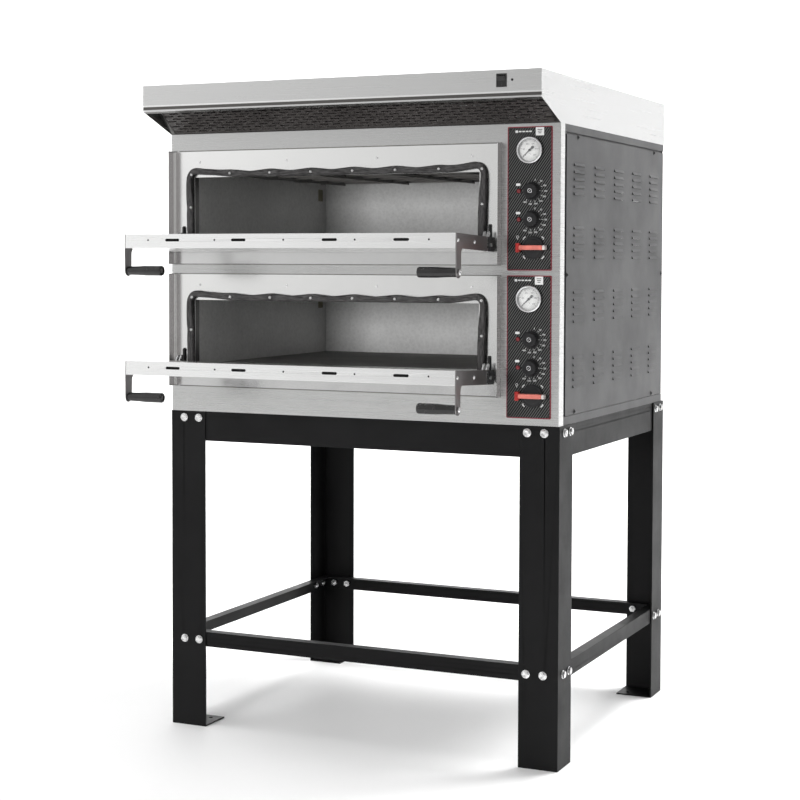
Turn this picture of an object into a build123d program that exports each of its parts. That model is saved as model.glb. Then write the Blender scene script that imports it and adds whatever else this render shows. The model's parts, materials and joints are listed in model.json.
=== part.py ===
from build123d import *
import os

# Two-deck electric pizza oven on an open stand, with an extraction hood on top.
#
# Millimetres, +Z up.  While modelling, X is zero on the middle of the cabinet, Y is zero on the
# front sheet of the cabinet and grows towards the back, and Z is zero on the floor.  Everything
# is moved once, at the end, so that the origin is the bottom centre of the whole object.

# ---- driving dimensions -------------------------------------------------------------------
CABINET_WIDTH = 1110.0
CABINET_DEPTH = 900.0
STAND_HEIGHT = 860.0
CABINET_HEIGHT = 745.0
SHEET = 1.5                      # folded stainless sheet
COVER = 2.0                      # painted side, rear and base sheet

STAND_DEPTH = 918.0
LEG_FLANGE_X = 105.0
LEG_FLANGE_Y = 100.0
LEG_STEEL = 4.0
LEG_OUTSET = 2.0                 # how far a leg stands out beside the cabinet
RAIL_STEEL = 3.0
RAIL_FLANGE = 30.0
TOP_RAIL_HEIGHT = 80.0
LOWER_RAIL_HEIGHT = 40.0
LOWER_RAIL_TOP = 259.0
FOOT_HOLE_DIAMETER = 12.0
FOOT_HOLE_INSET = 76.0
BOLT_DIAMETER = 10.0
BOLT_INSETS_X = (40.0, 85.0)
BOLT_INSETS_Y = (36.0, 81.0)
TOP_BOLT_DROP = 18.0
LOWER_BOLT_DROP = 21.0

DECK_PITCH = 328.5
LOWER_DECK_Z = 927.0             # bottom edge of the lower door recess
RECESS_HEIGHT = 305.0
DECK_X = -73.5                   # middle of the doors and recesses
RECESS_WIDTH = 946.0             # between the inner faces of the two jamb fins
PANEL_SETBACK = 3.0
FIN_REACH = 28.0                 # how far a jamb fin stands in front of the cabinet

MOUTH_X = -71.5
MOUTH_WIDTH = 825.0
MOUTH_SILL = 59.0                # the next heights are above the recess's bottom edge
MOUTH_HEAD = 233.5
MOUTH_LIP = 20.0
CHAMBER_FLOOR = 23.5
CHAMBER_CEILING = 259.5
CHAMBER_WIDTH = 837.0
CHAMBER_BACK_Y = 795.0
STONE_THICKNESS = 17.0
TUBE_DIAMETER = 8.0

GASKET_X = -70.5
GASKET_SPAN = 843.0
GASKET_DIAMETER = 18.5
GASKET_TOP = 243.5
GASKET_END = 64.0
GASKET_BEND = 12.0
GASKET_SCREW_X = -66.5           # middle of the row of screws along the top
GASKET_SCREW_PITCH = 120.7

PIVOT_Y = -38.0
PIVOT_Z = 51.5                   # above the recess's bottom edge
PIN_DIAMETER = 8.0
RUNNING_FIT = 0.05
DOOR_WIDTH = 919.0
DOOR_REACH = 221.0               # from the hinge axis to the free edge
DOOR_ABOVE_AXIS = 19.0
DOOR_BELOW_AXIS = 17.0
DOOR_TILT = {"upper": 1.9, "lower": 2.7}   # the open doors rest a little above level
HINGE_OFFSET = 443.5             # from the middle of the door to a hinge bracket
HINGE_STEEL = 5.0
CHEEK_INSIDE = 3.5               # from a bracket's middle plane to a clevis cheek
CHEEK_OUTSIDE = 6.5
LUG_Y = 16.0                     # the clevis's upper screw, from the hinge axis
LUG_Z = 28.0
NOTCH_WIDTH = 14.4
NOTCH_FRONT = -17.0
STRAP_END = -24.8                # where the side strap stops
END_PLATE_START = -12.9          # a strip of the pan's side shows between strap and end plate

ARM_STEEL = 2.5
GRIP_AXIS_Y = -204.0
GRIP_AXIS_Z = -74.0
GRIP_LENGTH = 103.0
GRIP_DIAMETER = 26.0
GRIP_NECK_DIAMETER = 20.0
SPINDLE_DIAMETER = 8.0

PLATE_WIDTH = 117.0
PLATE_HEIGHT = 354.0
PLATE_X = 475.5
PLATE_PITCH = 366.0
LOWER_PLATE_Z = 877.5
PLATE_THICKNESS = 2.0
DIAL_DIAMETER = 67.0
KNOB_SHAFT = 6.0
SWITCH_SHAFT = 8.0

HOOD_FRONT_Y = -140.0
HOOD_BACK_Y = 910.0
HOOD_LIP_RISE = 51.0             # front lip above the cabinet's top
HOOD_HEIGHT = 118.5
HOOD_LIP_RETURN = 12.0
FILTER_SLOPE = 0.72              # steeper than the hood's lower edge
FILTER_RUN = 125.0               # up the slope
BAFFLE_RISE = 74.0               # closes the space between the filter and the fascia
SLOT_PITCH = 38.4
FILTER_THICKNESS = 9.0
FILTER_HALF = 549.0
FILTER_LEDGE = 541.0             # the inner edges of the ledges that carry the filter's ends
DUCT_DIAMETER = 150.0
DUCT_HEIGHT = 30.0
DUCT_Y = 700.0

# ---- worked-out places ---------------------------------------------------------------------
HALF = CABINET_WIDTH / 2
TOP_Z = STAND_HEIGHT + CABINET_HEIGHT
LEG_X = HALF + LEG_OUTSET
DECKS = {"upper": LOWER_DECK_Z + DECK_PITCH, "lower": LOWER_DECK_Z}
PLATES = {"upper": LOWER_PLATE_Z + PLATE_PITCH, "lower": LOWER_PLATE_Z}
SIDES = {"left": -1, "right": 1}
PANEL_BACK = PANEL_SETBACK + COVER
BASE_RISE = 21.0
TRIM_Z = TOP_Z - 19.0
SKIN_FRONT = 32.0
KNOB_RISES = {"top": 196.0, "bottom": 126.0}
KNOB_X = PLATE_X + 7.0
DIAL_X = PLATE_X + 1.5
DIAL_RISE = 296.0
LAMP_X = PLATE_X - 27.5
SWITCH_X = PLATE_X + 11.0
SWITCH_RISE = 56.5
ROCKER_X = 453.5
ROCKER_RISE = 93.0
ROCKER_WIDTH = 26.0
ROCKER_HEIGHT = 32.0


def block(x0, x1, y0, y1, z0, z1):
    """A box between two corners."""
    return Pos((x0 + x1) / 2, (y0 + y1) / 2, (z0 + z1) / 2) * Box(abs(x1 - x0), abs(y1 - y0), abs(z1 - z0))


def rod_x(x0, x1, y, z, diameter):
    """A round bar along X."""
    return Pos((x0 + x1) / 2, y, z) * Rot(0, 90, 0) * Cylinder(diameter / 2, abs(x1 - x0))


def rod_y(x, y0, y1, z, diameter):
    """A round bar along Y."""
    return Pos(x, (y0 + y1) / 2, z) * Rot(90, 0, 0) * Cylinder(diameter / 2, abs(y1 - y0))


def rod_z(x, y, z0, z1, diameter):
    """A round bar along Z."""
    return Pos(x, y, (z0 + z1) / 2) * Cylinder(diameter / 2, abs(z1 - z0))


def prism_x(points, x0, x1):
    """A straight bar along X whose section is a list of (y, z) corners."""
    face = make_face(Polyline(*[(x0, y, z) for y, z in points], close=True))
    return extrude(face, amount=x1 - x0, dir=(1, 0, 0))


def turned(points, axis=Axis.Z):
    """A turned piece from a closed (radius, height) outline."""
    face = make_face(Polyline(*[(r, 0, h) for r, h in points], close=True))
    return revolve(face, axis)


def facing_front(piece):
    """Turn a piece modelled along +Z so that it points out of the cabinet's front."""
    return Rot(90, 0, 0) * piece


# ---- stand ---------------------------------------------------------------------------------
def stand_bolt_places():
    """Every stand bolt as (centre, outward direction), its centre on the leg's outer face."""
    places = []
    for z in (STAND_HEIGHT - TOP_BOLT_DROP, LOWER_RAIL_TOP - LOWER_BOLT_DROP):
        for side in (-1, 1):
            for y_face, out_y in ((0.0, -1), (STAND_DEPTH, 1)):
                for inset in BOLT_INSETS_X:
                    places.append(((side * (LEG_X - inset), y_face, z), (0, out_y, 0)))
                for inset in BOLT_INSETS_Y:
                    places.append(((side * LEG_X, y_face - out_y * inset, z), (side, 0, 0)))
    return places


def along(place, out, near, far, radius, sides=0):
    """A bar on a bolt's axis, from near to far measured inwards from the leg's outer face."""
    length = far - near
    if sides:
        bar = extrude(RegularPolygon(radius, sides, major_radius=False), amount=length)
    else:
        bar = extrude(Circle(radius), amount=length)
    inward = Vector(*out) * -1
    start = Vector(*place) + inward * near
    return Plane(origin=start, z_dir=inward) * bar


def stand_bolt_holes():
    depth = LEG_STEEL + RAIL_STEEL + 1
    return [along(p, d, -1, depth, BOLT_DIAMETER / 2 + 0.25) for p, d in stand_bolt_places()]


def stand_fasteners():
    """Hexagon bolts with washers outside, nuts inside, as separate solids."""
    stack = LEG_STEEL + RAIL_STEEL
    pieces = []
    for place, out in stand_bolt_places():
        washer = along(place, out, -1.6, 0, 10.5)
        head = along(place, out, -7.2, -1.6, 8.2, 6)
        shank = along(place, out, -1.6, stack + 11, BOLT_DIAMETER / 2)
        nut = along(place, out, stack, stack + 8, 8.2, 6)
        pieces.append(head + washer + shank)
        pieces.append(nut - shank)
    return pieces


def leg(side, at_back, holes):
    """An angle-iron leg with a drilled foot plate inside its corner."""
    outer_x = side * LEG_X
    outer_y = STAND_DEPTH if at_back else 0.0
    inward_y = -1 if at_back else 1
    wide = block(outer_x, outer_x - side * LEG_FLANGE_X, outer_y, outer_y + inward_y * LEG_STEEL,
                 0, STAND_HEIGHT)
    deep = block(outer_x, outer_x - side * LEG_STEEL, outer_y, outer_y + inward_y * LEG_FLANGE_Y,
                 0, STAND_HEIGHT)
    foot = block(outer_x, outer_x - side * LEG_FLANGE_X, outer_y, outer_y + inward_y * LEG_FLANGE_Y,
                 0, LEG_STEEL)
    hole = rod_z(outer_x - side * FOOT_HOLE_INSET, outer_y + inward_y * FOOT_HOLE_INSET,
                 -1, LEG_STEEL + 1, FOOT_HOLE_DIAMETER)
    return wide + deep + foot - hole - holes


def long_rails(top, height, holes):
    """Front and rear rails: angles with the flange on top, between the leg corners."""
    end = LEG_X - LEG_STEEL
    rails = []
    for y, inward in ((LEG_STEEL, 1), (STAND_DEPTH - LEG_STEEL, -1)):
        web = block(-end, end, y, y + inward * RAIL_STEEL, top - height, top)
        flange = block(-end, end, y, y + inward * RAIL_FLANGE, top - RAIL_STEEL, top)
        rails.append(web + flange - holes)
    return rails


def short_rails(top, height, holes):
    """Left and right rails; the flanges stop where the long rails' flanges begin."""
    web_end = LEG_STEEL + RAIL_STEEL
    flange_end = LEG_STEEL + RAIL_FLANGE
    face = LEG_X - LEG_STEEL
    rails = []
    for side in (-1, 1):
        web = block(side * face, side * (face - RAIL_STEEL), web_end, STAND_DEPTH - web_end,
                    top - height, top)
        flange = block(side * face, side * (face - RAIL_FLANGE), flange_end,
                       STAND_DEPTH - flange_end, top - RAIL_STEEL, top)
        corner = block(side * face, side * (face - RAIL_STEEL), 0, flange_end, top - RAIL_STEEL, top)
        back_corner = block(side * face, side * (face - RAIL_STEEL), STAND_DEPTH - flange_end,
                            STAND_DEPTH, top - RAIL_STEEL, top)
        rails.append(web + flange - corner - back_corner - holes)
    return rails


# ---- cabinet -------------------------------------------------------------------------------
def base_tray():
    outer = block(-HALF, HALF, SKIN_FRONT, CABINET_DEPTH, STAND_HEIGHT, STAND_HEIGHT + BASE_RISE)
    inner = block(-HALF + COVER, HALF - COVER, SKIN_FRONT + COVER, CABINET_DEPTH - COVER,
                  STAND_HEIGHT + COVER, TOP_Z)
    return outer - inner


def roof_panel():
    outer = block(-HALF, HALF, SKIN_FRONT, CABINET_DEPTH, TRIM_Z, TOP_Z)
    inner = block(-HALF + COVER, HALF - COVER, SKIN_FRONT + COVER, CABINET_DEPTH - COVER,
                  STAND_HEIGHT, TOP_Z - COVER)
    return outer - inner


GLAND_X = -430.0
GLAND_Z = STAND_HEIGHT + 70.0
GLAND_HOLE = 25.0


def rear_panel():
    """The rear cover, with vent slots behind the controls and a hole for the cable gland."""
    sheet = block(-HALF + COVER, HALF - COVER, CABINET_DEPTH - COVER, CABINET_DEPTH,
                  STAND_HEIGHT + BASE_RISE, TRIM_Z)
    slots = [block(430, 520, CABINET_DEPTH - 5, CABINET_DEPTH + 5, z - 3, z + 3)
             for z in [960 + 22 * i for i in range(24)]]
    gland = rod_y(GLAND_X, CABINET_DEPTH - 5, CABINET_DEPTH + 5, GLAND_Z, GLAND_HOLE)
    return sheet - slots - gland


JOGGLE = 7.0
LOUVRE_LENGTH = 80.0
LOUVRE_HEIGHT = 9.0
LOUVRE_DEPTH = 4.0
LOUVRE_COLUMNS = [141 + 165.5 * i for i in range(5)]
LOUVRE_ROWS = [start - 18.2 * i for start in (1505, 1347, 1186, 1022) for i in range(5)]


def louvre(side, y, z):
    """A pressed hood, open along its lower edge."""
    face_x = side * HALF
    section = [(0, LOUVRE_HEIGHT), (0, LOUVRE_HEIGHT - 1), (LOUVRE_DEPTH - 1, 0), (LOUVRE_DEPTH, 0)]
    corners = [(face_x + side * (out - 0.5), y - LOUVRE_LENGTH / 2, z + up) for out, up in section]
    face = make_face(Polyline(*corners, close=True))
    top = extrude(face, amount=LOUVRE_LENGTH, dir=(0, 1, 0))
    cheeks = []
    for y_end in (y - LOUVRE_LENGTH / 2, y + LOUVRE_LENGTH / 2 - 1):
        points = [(face_x - side * 0.5, y_end, z + LOUVRE_HEIGHT), (face_x - side * 0.5, y_end, z),
                  (face_x + side * (LOUVRE_DEPTH - 0.5), y_end, z)]
        cheeks.append(extrude(make_face(Polyline(*points, close=True)), amount=1, dir=(0, 1, 0)))
    return [top] + cheeks


def side_panel(side):
    """A painted side cover with five columns and four groups of pressed louvres.

    Its front and top edges are joggled inwards, behind the fascia's and the roof's returns.
    """
    inner_x = side * (HALF - SHEET)
    low = STAND_HEIGHT + BASE_RISE + 1
    top = TRIM_Z - 5
    front = SKIN_FRONT + 13
    deep = side * (HALF - JOGGLE)
    sheet = block(inner_x, side * HALF, front, CABINET_DEPTH - COVER, low, top)
    sheet += block(deep, side * HALF, front, front + SHEET, low, top)
    sheet += block(deep, side * HALF, front, CABINET_DEPTH - COVER, top - SHEET, top)
    sheet += block(deep, deep + side * SHEET, SKIN_FRONT - 2, front + SHEET, low, top)
    sheet += block(deep, deep + side * SHEET, front, CABINET_DEPTH - COVER, top - SHEET, TRIM_Z + 4)
    slots = []
    hoods = []
    for y in LOUVRE_COLUMNS:
        for z in LOUVRE_ROWS:
            slots.append(block(side * (HALF - 5), side * (HALF + 5), y - LOUVRE_LENGTH / 2 + 1,
                               y + LOUVRE_LENGTH / 2 - 1, z, z + LOUVRE_HEIGHT - 3))
            hoods.extend(louvre(side, y, z))
    return sheet - slots + hoods


def control_holes(front, back, clearance):
    """Round holes through the front sheets for the dials, knobs, switches and lamps."""
    holes = []
    for z in PLATES.values():
        holes.append(rod_y(DIAL_X, front, back, z + DIAL_RISE, 20))
        holes.append(rod_y(SWITCH_X, front, back, z + SWITCH_RISE, SWITCH_SHAFT + clearance))
        for rise in KNOB_RISES.values():
            holes.append(rod_y(KNOB_X, front, back, z + rise, KNOB_SHAFT + clearance))
            holes.append(rod_y(LAMP_X, front, back, z + rise, 9))
    return holes


def front_fascia():
    """The stainless front sheet with two door recesses and a return flange all round."""
    sheet = block(-HALF, HALF, 0, COVER, STAND_HEIGHT, TOP_Z)
    returns = block(-HALF, HALF, 0, SKIN_FRONT, STAND_HEIGHT, TOP_Z)
    returns -= block(-HALF + SHEET, HALF - SHEET, -1, SKIN_FRONT + 1, STAND_HEIGHT + SHEET, TOP_Z - SHEET)
    body = sheet + returns
    body = fillet(body.edges().filter_by(Axis.Z).group_by(Axis.Y)[0], 1.4)
    half_window = RECESS_WIDTH / 2 + 2
    for z in DECKS.values():
        body -= block(DECK_X - half_window, DECK_X + half_window, -1, COVER + 1, z, z + RECESS_HEIGHT)
    return body - control_holes(-1, COVER + 1, 4)


def cable_gland():
    """A nylon gland in the rear panel, with its lock nut inside."""
    body = turned([(7, -14), (12.3, -14), (12.3, 0), (17, 0), (17, 6), (14, 6), (13, 20), (7, 20)])
    nut = extrude(RegularPolygon(16, 6, major_radius=False), amount=5) - Cylinder(12.4, 20)
    to_back = Pos(GLAND_X, CABINET_DEPTH, GLAND_Z) * Rot(-90, 0, 0)
    return [to_back * body, to_back * Pos(0, 0, -COVER - 5) * nut]


# ---- one deck ------------------------------------------------------------------------------
def mouth_box(z, y0, y1, grow=0.0):
    """The mouth's opening as a box, grown all round by a margin."""
    half = MOUTH_WIDTH / 2 + grow
    return block(MOUTH_X - half, MOUTH_X + half, y0, y1, z + MOUTH_SILL - grow, z + MOUTH_HEAD + grow)


def mouth_frame(z):
    """The recessed panel round the mouth, its inward lip and the two jamb fins."""
    half = RECESS_WIDTH / 2 + SHEET
    panel = block(DECK_X - half, DECK_X + half, PANEL_SETBACK, PANEL_BACK, z + 0.5, z + RECESS_HEIGHT - 0.5)
    fins = [block(DECK_X + s * half, DECK_X + s * (half - SHEET), -FIN_REACH, PANEL_BACK,
                  z + 1, z + RECESS_HEIGHT - 1) for s in (-1, 1)]
    lip = mouth_box(z, PANEL_SETBACK, PANEL_BACK + MOUTH_LIP, SHEET) - mouth_box(z, 0, 60)
    slots = [block(DECK_X + s * HINGE_OFFSET - 4, DECK_X + s * HINGE_OFFSET + 4, 0, 10,
                   z + 37, z + 103) for s in (-1, 1)]
    return panel - mouth_box(z, 0, 60) + fins + lip - slots


def chamber(z):
    """The aluminised baking chamber, open to the front, with ledges for the stone."""
    half = CHAMBER_WIDTH / 2
    inner = block(MOUTH_X - half, MOUTH_X + half, 0, CHAMBER_BACK_Y, z + CHAMBER_FLOOR, z + CHAMBER_CEILING)
    outer = block(MOUTH_X - half - SHEET, MOUTH_X + half + SHEET, PANEL_BACK, CHAMBER_BACK_Y + SHEET,
                  z + CHAMBER_FLOOR - SHEET, z + CHAMBER_CEILING + SHEET)
    steam_slot = block(MOUTH_X - half - 5, MOUTH_X - half + 5, 742, 774, z + 194, z + 230)
    ledge_z = z + MOUTH_SILL - STONE_THICKNESS
    ledges = [block(MOUTH_X + s * half, MOUTH_X + s * (half - 15), 40, 780, ledge_z - 2, ledge_z)
              for s in (-1, 1)]
    rib = block(MOUTH_X - 1, MOUTH_X + 1, 730, CHAMBER_BACK_Y, z + CHAMBER_FLOOR, ledge_z)
    front_rib = block(MOUTH_X - 1, MOUTH_X + 1, 30, 60, z + CHAMBER_FLOOR, ledge_z)
    return outer - inner - steam_slot + ledges + rib + front_rib


def baking_stones():
    """Two refractory tiles on each deck's floor."""
    tiles = []
    half = CHAMBER_WIDTH / 2 - 1.5
    for z in DECKS.values():
        for s in (-1, 1):
            tiles.append(block(MOUTH_X + s * 0.5, MOUTH_X + s * half, PANEL_BACK + MOUTH_LIP + 2,
                               CHAMBER_BACK_Y - 3, z + MOUTH_SILL - STONE_THICKNESS, z + MOUTH_SILL))
    return tiles


TUBE_RUNS = [90 + 104 * i for i in range(7)]
TUBE_REACH = 395.0
CLIP_X = (-318.0, -106.0, 106.0, 318.0)


def element_tube(z):
    """One sheathed element bent to and fro across the chamber."""
    points = []
    for i, y in enumerate(TUBE_RUNS):
        ends = (TUBE_REACH, -TUBE_REACH) if i % 2 == 0 else (-TUBE_REACH, TUBE_REACH)
        points.extend((MOUTH_X + end, y, z) for end in ends)
    path = FilletPolyline(*points, radius=46)
    return sweep(Plane(path @ 0, z_dir=path % 0) * Circle(TUBE_DIAMETER / 2), path=path)


def heaters(z):
    """Top and bottom elements with the strips that carry them."""
    top_z = z + CHAMBER_CEILING - 12
    low_z = z + CHAMBER_FLOOR + 9
    tubes = [element_tube(top_z), element_tube(low_z)]
    strips = []
    for x in CLIP_X:
        bores = [rod_x(MOUTH_X + x - 5, MOUTH_X + x + 5, y, top_z, TUBE_DIAMETER + 0.6) for y in TUBE_RUNS]
        hanger = block(MOUTH_X + x - 1, MOUTH_X + x + 1, 78, 726, top_z - 9, z + CHAMBER_CEILING)
        strips.append(hanger - bores)
        low_bores = [rod_x(MOUTH_X + x - 5, MOUTH_X + x + 5, y, low_z, TUBE_DIAMETER + 0.6)
                     for y in TUBE_RUNS]
        rack = block(MOUTH_X + x - 1, MOUTH_X + x + 1, 78, 726, z + CHAMBER_FLOOR, low_z + 8)
        strips.append(rack - low_bores)
    return tubes + strips


def gasket(z, screws):
    """The woven rope seal: up one side of the mouth, over the top and down the other."""
    half = GASKET_SPAN / 2
    y = PANEL_SETBACK - GASKET_DIAMETER / 2
    points = [(GASKET_X - half, y, z + GASKET_END), (GASKET_X - half, y, z + GASKET_TOP),
              (GASKET_X + half, y, z + GASKET_TOP), (GASKET_X + half, y, z + GASKET_END)]
    path = FilletPolyline(*points, radius=GASKET_BEND)
    rope = sweep(Plane(path @ 0, z_dir=path % 0) * Circle(GASKET_DIAMETER / 2), path=path)
    return rope - screws


def gasket_screws(z):
    """Screws that hold the rope: eight along the top and one half-way down each side."""
    y_face = PANEL_SETBACK - GASKET_DIAMETER
    places = [(GASKET_SCREW_X + GASKET_SCREW_PITCH * (i - 3.5), z + 242) for i in range(8)]
    places[0] = (GASKET_X - GASKET_SPAN / 2 + 5.6, z + 240.8)
    places[7] = (GASKET_X + GASKET_SPAN / 2 + 2.5, z + 241.5)
    places += [(GASKET_X - GASKET_SPAN / 2 + 3.4, z + 153), (GASKET_X + GASKET_SPAN / 2 + 4.4, z + 153)]
    return [rod_y(x, y_face + 0.2, PANEL_SETBACK, height, 4) + rod_y(x, y_face + 0.2, y_face + 3, height, 8)
            for x, height in places]


def insulation():
    """Mineral-wool slabs under, between and over the chambers, and a blanket round them."""
    half = CHAMBER_WIDTH / 2 + SHEET
    under = block(MOUTH_X - half, MOUTH_X + half, 12, CHAMBER_BACK_Y, STAND_HEIGHT + 4,
                  DECKS["lower"] + CHAMBER_FLOOR - SHEET - 1)
    between = block(MOUTH_X - half, MOUTH_X + half, 12, CHAMBER_BACK_Y,
                    DECKS["lower"] + CHAMBER_CEILING + SHEET + 1,
                    DECKS["upper"] + CHAMBER_FLOOR - SHEET - 1)
    over = block(MOUTH_X - half, MOUTH_X + half, 12, CHAMBER_BACK_Y,
                 DECKS["upper"] + CHAMBER_CEILING + SHEET + 1, TOP_Z - COVER - 4)
    under = under - block(-HALF, HALF, SKIN_FRONT - 1, SKIN_FRONT + COVER + 1, 0,
                          STAND_HEIGHT + BASE_RISE + 1)
    over = over - block(-HALF, HALF, SKIN_FRONT - 1, SKIN_FRONT + COVER + 1, TRIM_Z - 1, TOP_Z)
    outer = block(-HALF + 8, MOUTH_X + half + 46, 40, CABINET_DEPTH - 22,
                  STAND_HEIGHT + 4, TOP_Z - COVER - 4)
    core = block(MOUTH_X - half - 1, MOUTH_X + half + 1, 0, CHAMBER_BACK_Y + SHEET + 1, 0, 3000)
    return [under, between, over, outer - core]


def hinge_bracket(side, z):
    """A black steel hinge plate through the panel's slot, bored for the door's pin."""
    x = DECK_X + side * HINGE_OFFSET
    pivot_z = z + PIVOT_Z
    x0 = x - HINGE_STEEL / 2
    x1 = x + HINGE_STEEL / 2
    nose = rod_x(x0, x1, PIVOT_Y, pivot_z, 24)
    arm = block(x0, x1, PIVOT_Y, PANEL_BACK, pivot_z - 12, pivot_z + 12)
    upright = block(x0, x1, -4, PANEL_BACK, z + 38, z + 100.7)
    foot = block(x - 16, x + 16, PANEL_BACK, PANEL_BACK + 4, z + 18, z + 112)
    bore = rod_x(x0 - 1, x1 + 1, PIVOT_Y, pivot_z, PIN_DIAMETER + 2 * RUNNING_FIT)
    return nose + arm + upright + foot - bore


# ---- doors: modelled level and open, with the hinge axis on the X axis -----------------------
def placed_door(deck, piece):
    """Put a door piece on its hinge, at the small tilt at which the open door rests."""
    hinge = Pos(DECK_X, PIVOT_Y, DECKS[deck] + PIVOT_Z) * Rot(-DOOR_TILT[deck], 0, 0)
    if isinstance(piece, list):
        return [hinge * item for item in piece]
    return hinge * piece


def door_outline(inset):
    """The door's section: square at the free edge and raked back at the hinge edge."""
    return [(-DOOR_REACH + inset, DOOR_ABOVE_AXIS), (14 - inset, DOOR_ABOVE_AXIS),
            (25 - inset, -DOOR_BELOW_AXIS + inset), (-DOOR_REACH + inset, -DOOR_BELOW_AXIS + inset)]


def hinge_notches():
    half = NOTCH_WIDTH / 2
    return [block(s * HINGE_OFFSET - half, s * HINGE_OFFSET + half, NOTCH_FRONT, 60, -60, 60)
            for s in (-1, 1)]


SLOT_PLACES = (-319.0, -127.0, 127.0, 319.0)
SLOT_RISE = 3.5
EDGE_SCREWS = [195.5 * i for i in range(-2, 3)]
SIDE_SCREWS = (-212.0, -108.0)


def door_shell():
    """The folded stainless pan: outer skin and four edges, with cooling slots in the free edge."""
    half = DOOR_WIDTH / 2
    outer = prism_x(door_outline(0), -half, half)
    inner = prism_x(door_outline(SHEET), -half + SHEET, half - SHEET)
    slots = []
    for x in SLOT_PLACES:
        slots.append(block(x - 17, x + 17, -DOOR_REACH - 2, -DOOR_REACH + 3,
                           SLOT_RISE - 3.5, SLOT_RISE + 3.5))
        slots.extend(rod_y(x + e, -DOOR_REACH - 2, -DOOR_REACH + 3, SLOT_RISE, 7) for e in (-17, 17))
    pins = [rod_x(s * (half - 5), s * (half + 5), 0, 0, PIN_DIAMETER + 0.3) for s in (-1, 1)]
    return outer - inner - slots - hinge_notches() - pins


def door_lining():
    """The inner sheet flush with the pan's rim, and the insulating board under it."""
    half = DOOR_WIDTH / 2 - SHEET - 0.2
    front = -DOOR_REACH + SHEET + 0.2
    sheet = block(-half, half, front, 11, DOOR_ABOVE_AXIS - SHEET, DOOR_ABOVE_AXIS)
    board = block(-half, half, front + 12, -24, -DOOR_BELOW_AXIS + SHEET, DOOR_ABOVE_AXIS - SHEET)
    return [sheet - hinge_notches(), board]


def lug_arm(x0, x1):
    """A clevis cheek: a disc round the pin, a slanted arm and a smaller disc round the screw."""
    length = (LUG_Y ** 2 + LUG_Z ** 2) ** 0.5
    across = Vector(0, LUG_Z, -LUG_Y) / length
    low = across * 9
    high = across * 6.2
    corners = [(low.Y, low.Z), (LUG_Y + high.Y, LUG_Z + high.Z), (LUG_Y - high.Y, LUG_Z - high.Z),
               (-low.Y, -low.Z)]
    arm = prism_x(corners, x0, x1) + block(x0, x1, NOTCH_FRONT + 0.5, 6, -14, 12)
    return arm + rod_x(x0, x1, LUG_Y, LUG_Z, 13) + rod_x(x0, x1, 0, 0, 22)


def end_plate(side):
    """The dark plate at the hinge end of the door's side."""
    x0 = side * DOOR_WIDTH / 2
    corners = [(END_PLATE_START, DOOR_ABOVE_AXIS), (25.5, DOOR_ABOVE_AXIS), (28.5, 4), (28.5, -4),
               (24.6, -DOOR_BELOW_AXIS), (END_PLATE_START, -DOOR_BELOW_AXIS)]
    return prism_x(corners, min(x0, x0 + side * ARM_STEEL), max(x0, x0 + side * ARM_STEEL))


def door_hinges():
    """A U-shaped clevis, a pin and an end plate at each end of the door."""
    pieces = []
    outside = DOOR_WIDTH / 2 + ARM_STEEL
    for s in (-1, 1):
        x = s * HINGE_OFFSET
        cheeks = [lug_arm(x - CHEEK_OUTSIDE, x - CHEEK_INSIDE),
                  lug_arm(x + CHEEK_INSIDE, x + CHEEK_OUTSIDE)]
        web = block(x - CHEEK_OUTSIDE, x + CHEEK_OUTSIDE, NOTCH_FRONT + 0.5, NOTCH_FRONT + 3.5, -14, 12)
        bore = rod_x(x - 10, x + 10, 0, 0, PIN_DIAMETER)
        cross = rod_x(x - 10, x + 10, LUG_Y, LUG_Z, 5)
        clevis = cheeks[0] + cheeks[1] + web - bore - cross
        pin = rod_x(x - s * (CHEEK_OUTSIDE + 1), s * (outside + 1), 0, 0, PIN_DIAMETER)
        pin += rod_x(s * outside, s * (outside + 2.2), 0, 0, 10)
        screws = [rod_x(x + t * CHEEK_INSIDE, x + t * CHEEK_OUTSIDE, LUG_Y, LUG_Z, 5)
                  + rod_x(x + t * CHEEK_OUTSIDE, x + t * (CHEEK_OUTSIDE + 1.2), LUG_Y, LUG_Z, 9)
                  for t in (-1, 1)]
        pieces += [clevis, pin, end_plate(s) - pin] + screws
    return pieces


def handle_arms():
    """The two side straps, each with an arm that carries a grip's spindle."""
    pieces = []
    half = DOOR_WIDTH / 2
    arm = [(-DOOR_REACH, -DOOR_BELOW_AXIS + 8), (-DOOR_REACH, -DOOR_BELOW_AXIS),
           (GRIP_AXIS_Y - 14, GRIP_AXIS_Z), (GRIP_AXIS_Y + 14, GRIP_AXIS_Z),
           (-191, -DOOR_BELOW_AXIS - 10), (-185, -DOOR_BELOW_AXIS), (-185, -DOOR_BELOW_AXIS + 8)]
    strap = [(-DOOR_REACH, DOOR_ABOVE_AXIS), (STRAP_END, DOOR_ABOVE_AXIS), (STRAP_END, -DOOR_BELOW_AXIS),
             (-DOOR_REACH, -DOOR_BELOW_AXIS)]
    for s in (-1, 1):
        x0 = s * half
        x1 = s * (half + ARM_STEEL)
        plate = prism_x(strap, x0, x1) + prism_x(arm, x0, x1)
        plate += rod_x(x0, x1, GRIP_AXIS_Y, GRIP_AXIS_Z, 28)
        spindle = rod_x(x1 + s * 1.5, x0 - s * (GRIP_LENGTH - 3), GRIP_AXIS_Y, GRIP_AXIS_Z,
                        SPINDLE_DIAMETER)
        spindle += rod_x(x1, x1 + s * 3.5, GRIP_AXIS_Y, GRIP_AXIS_Z, 16)
        spindle += rod_x(x0 - s * (GRIP_LENGTH - 6), x0 - s * (GRIP_LENGTH - 3),
                         GRIP_AXIS_Y, GRIP_AXIS_Z, 13)
        pieces += [plate - spindle, spindle]
    return pieces


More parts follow.
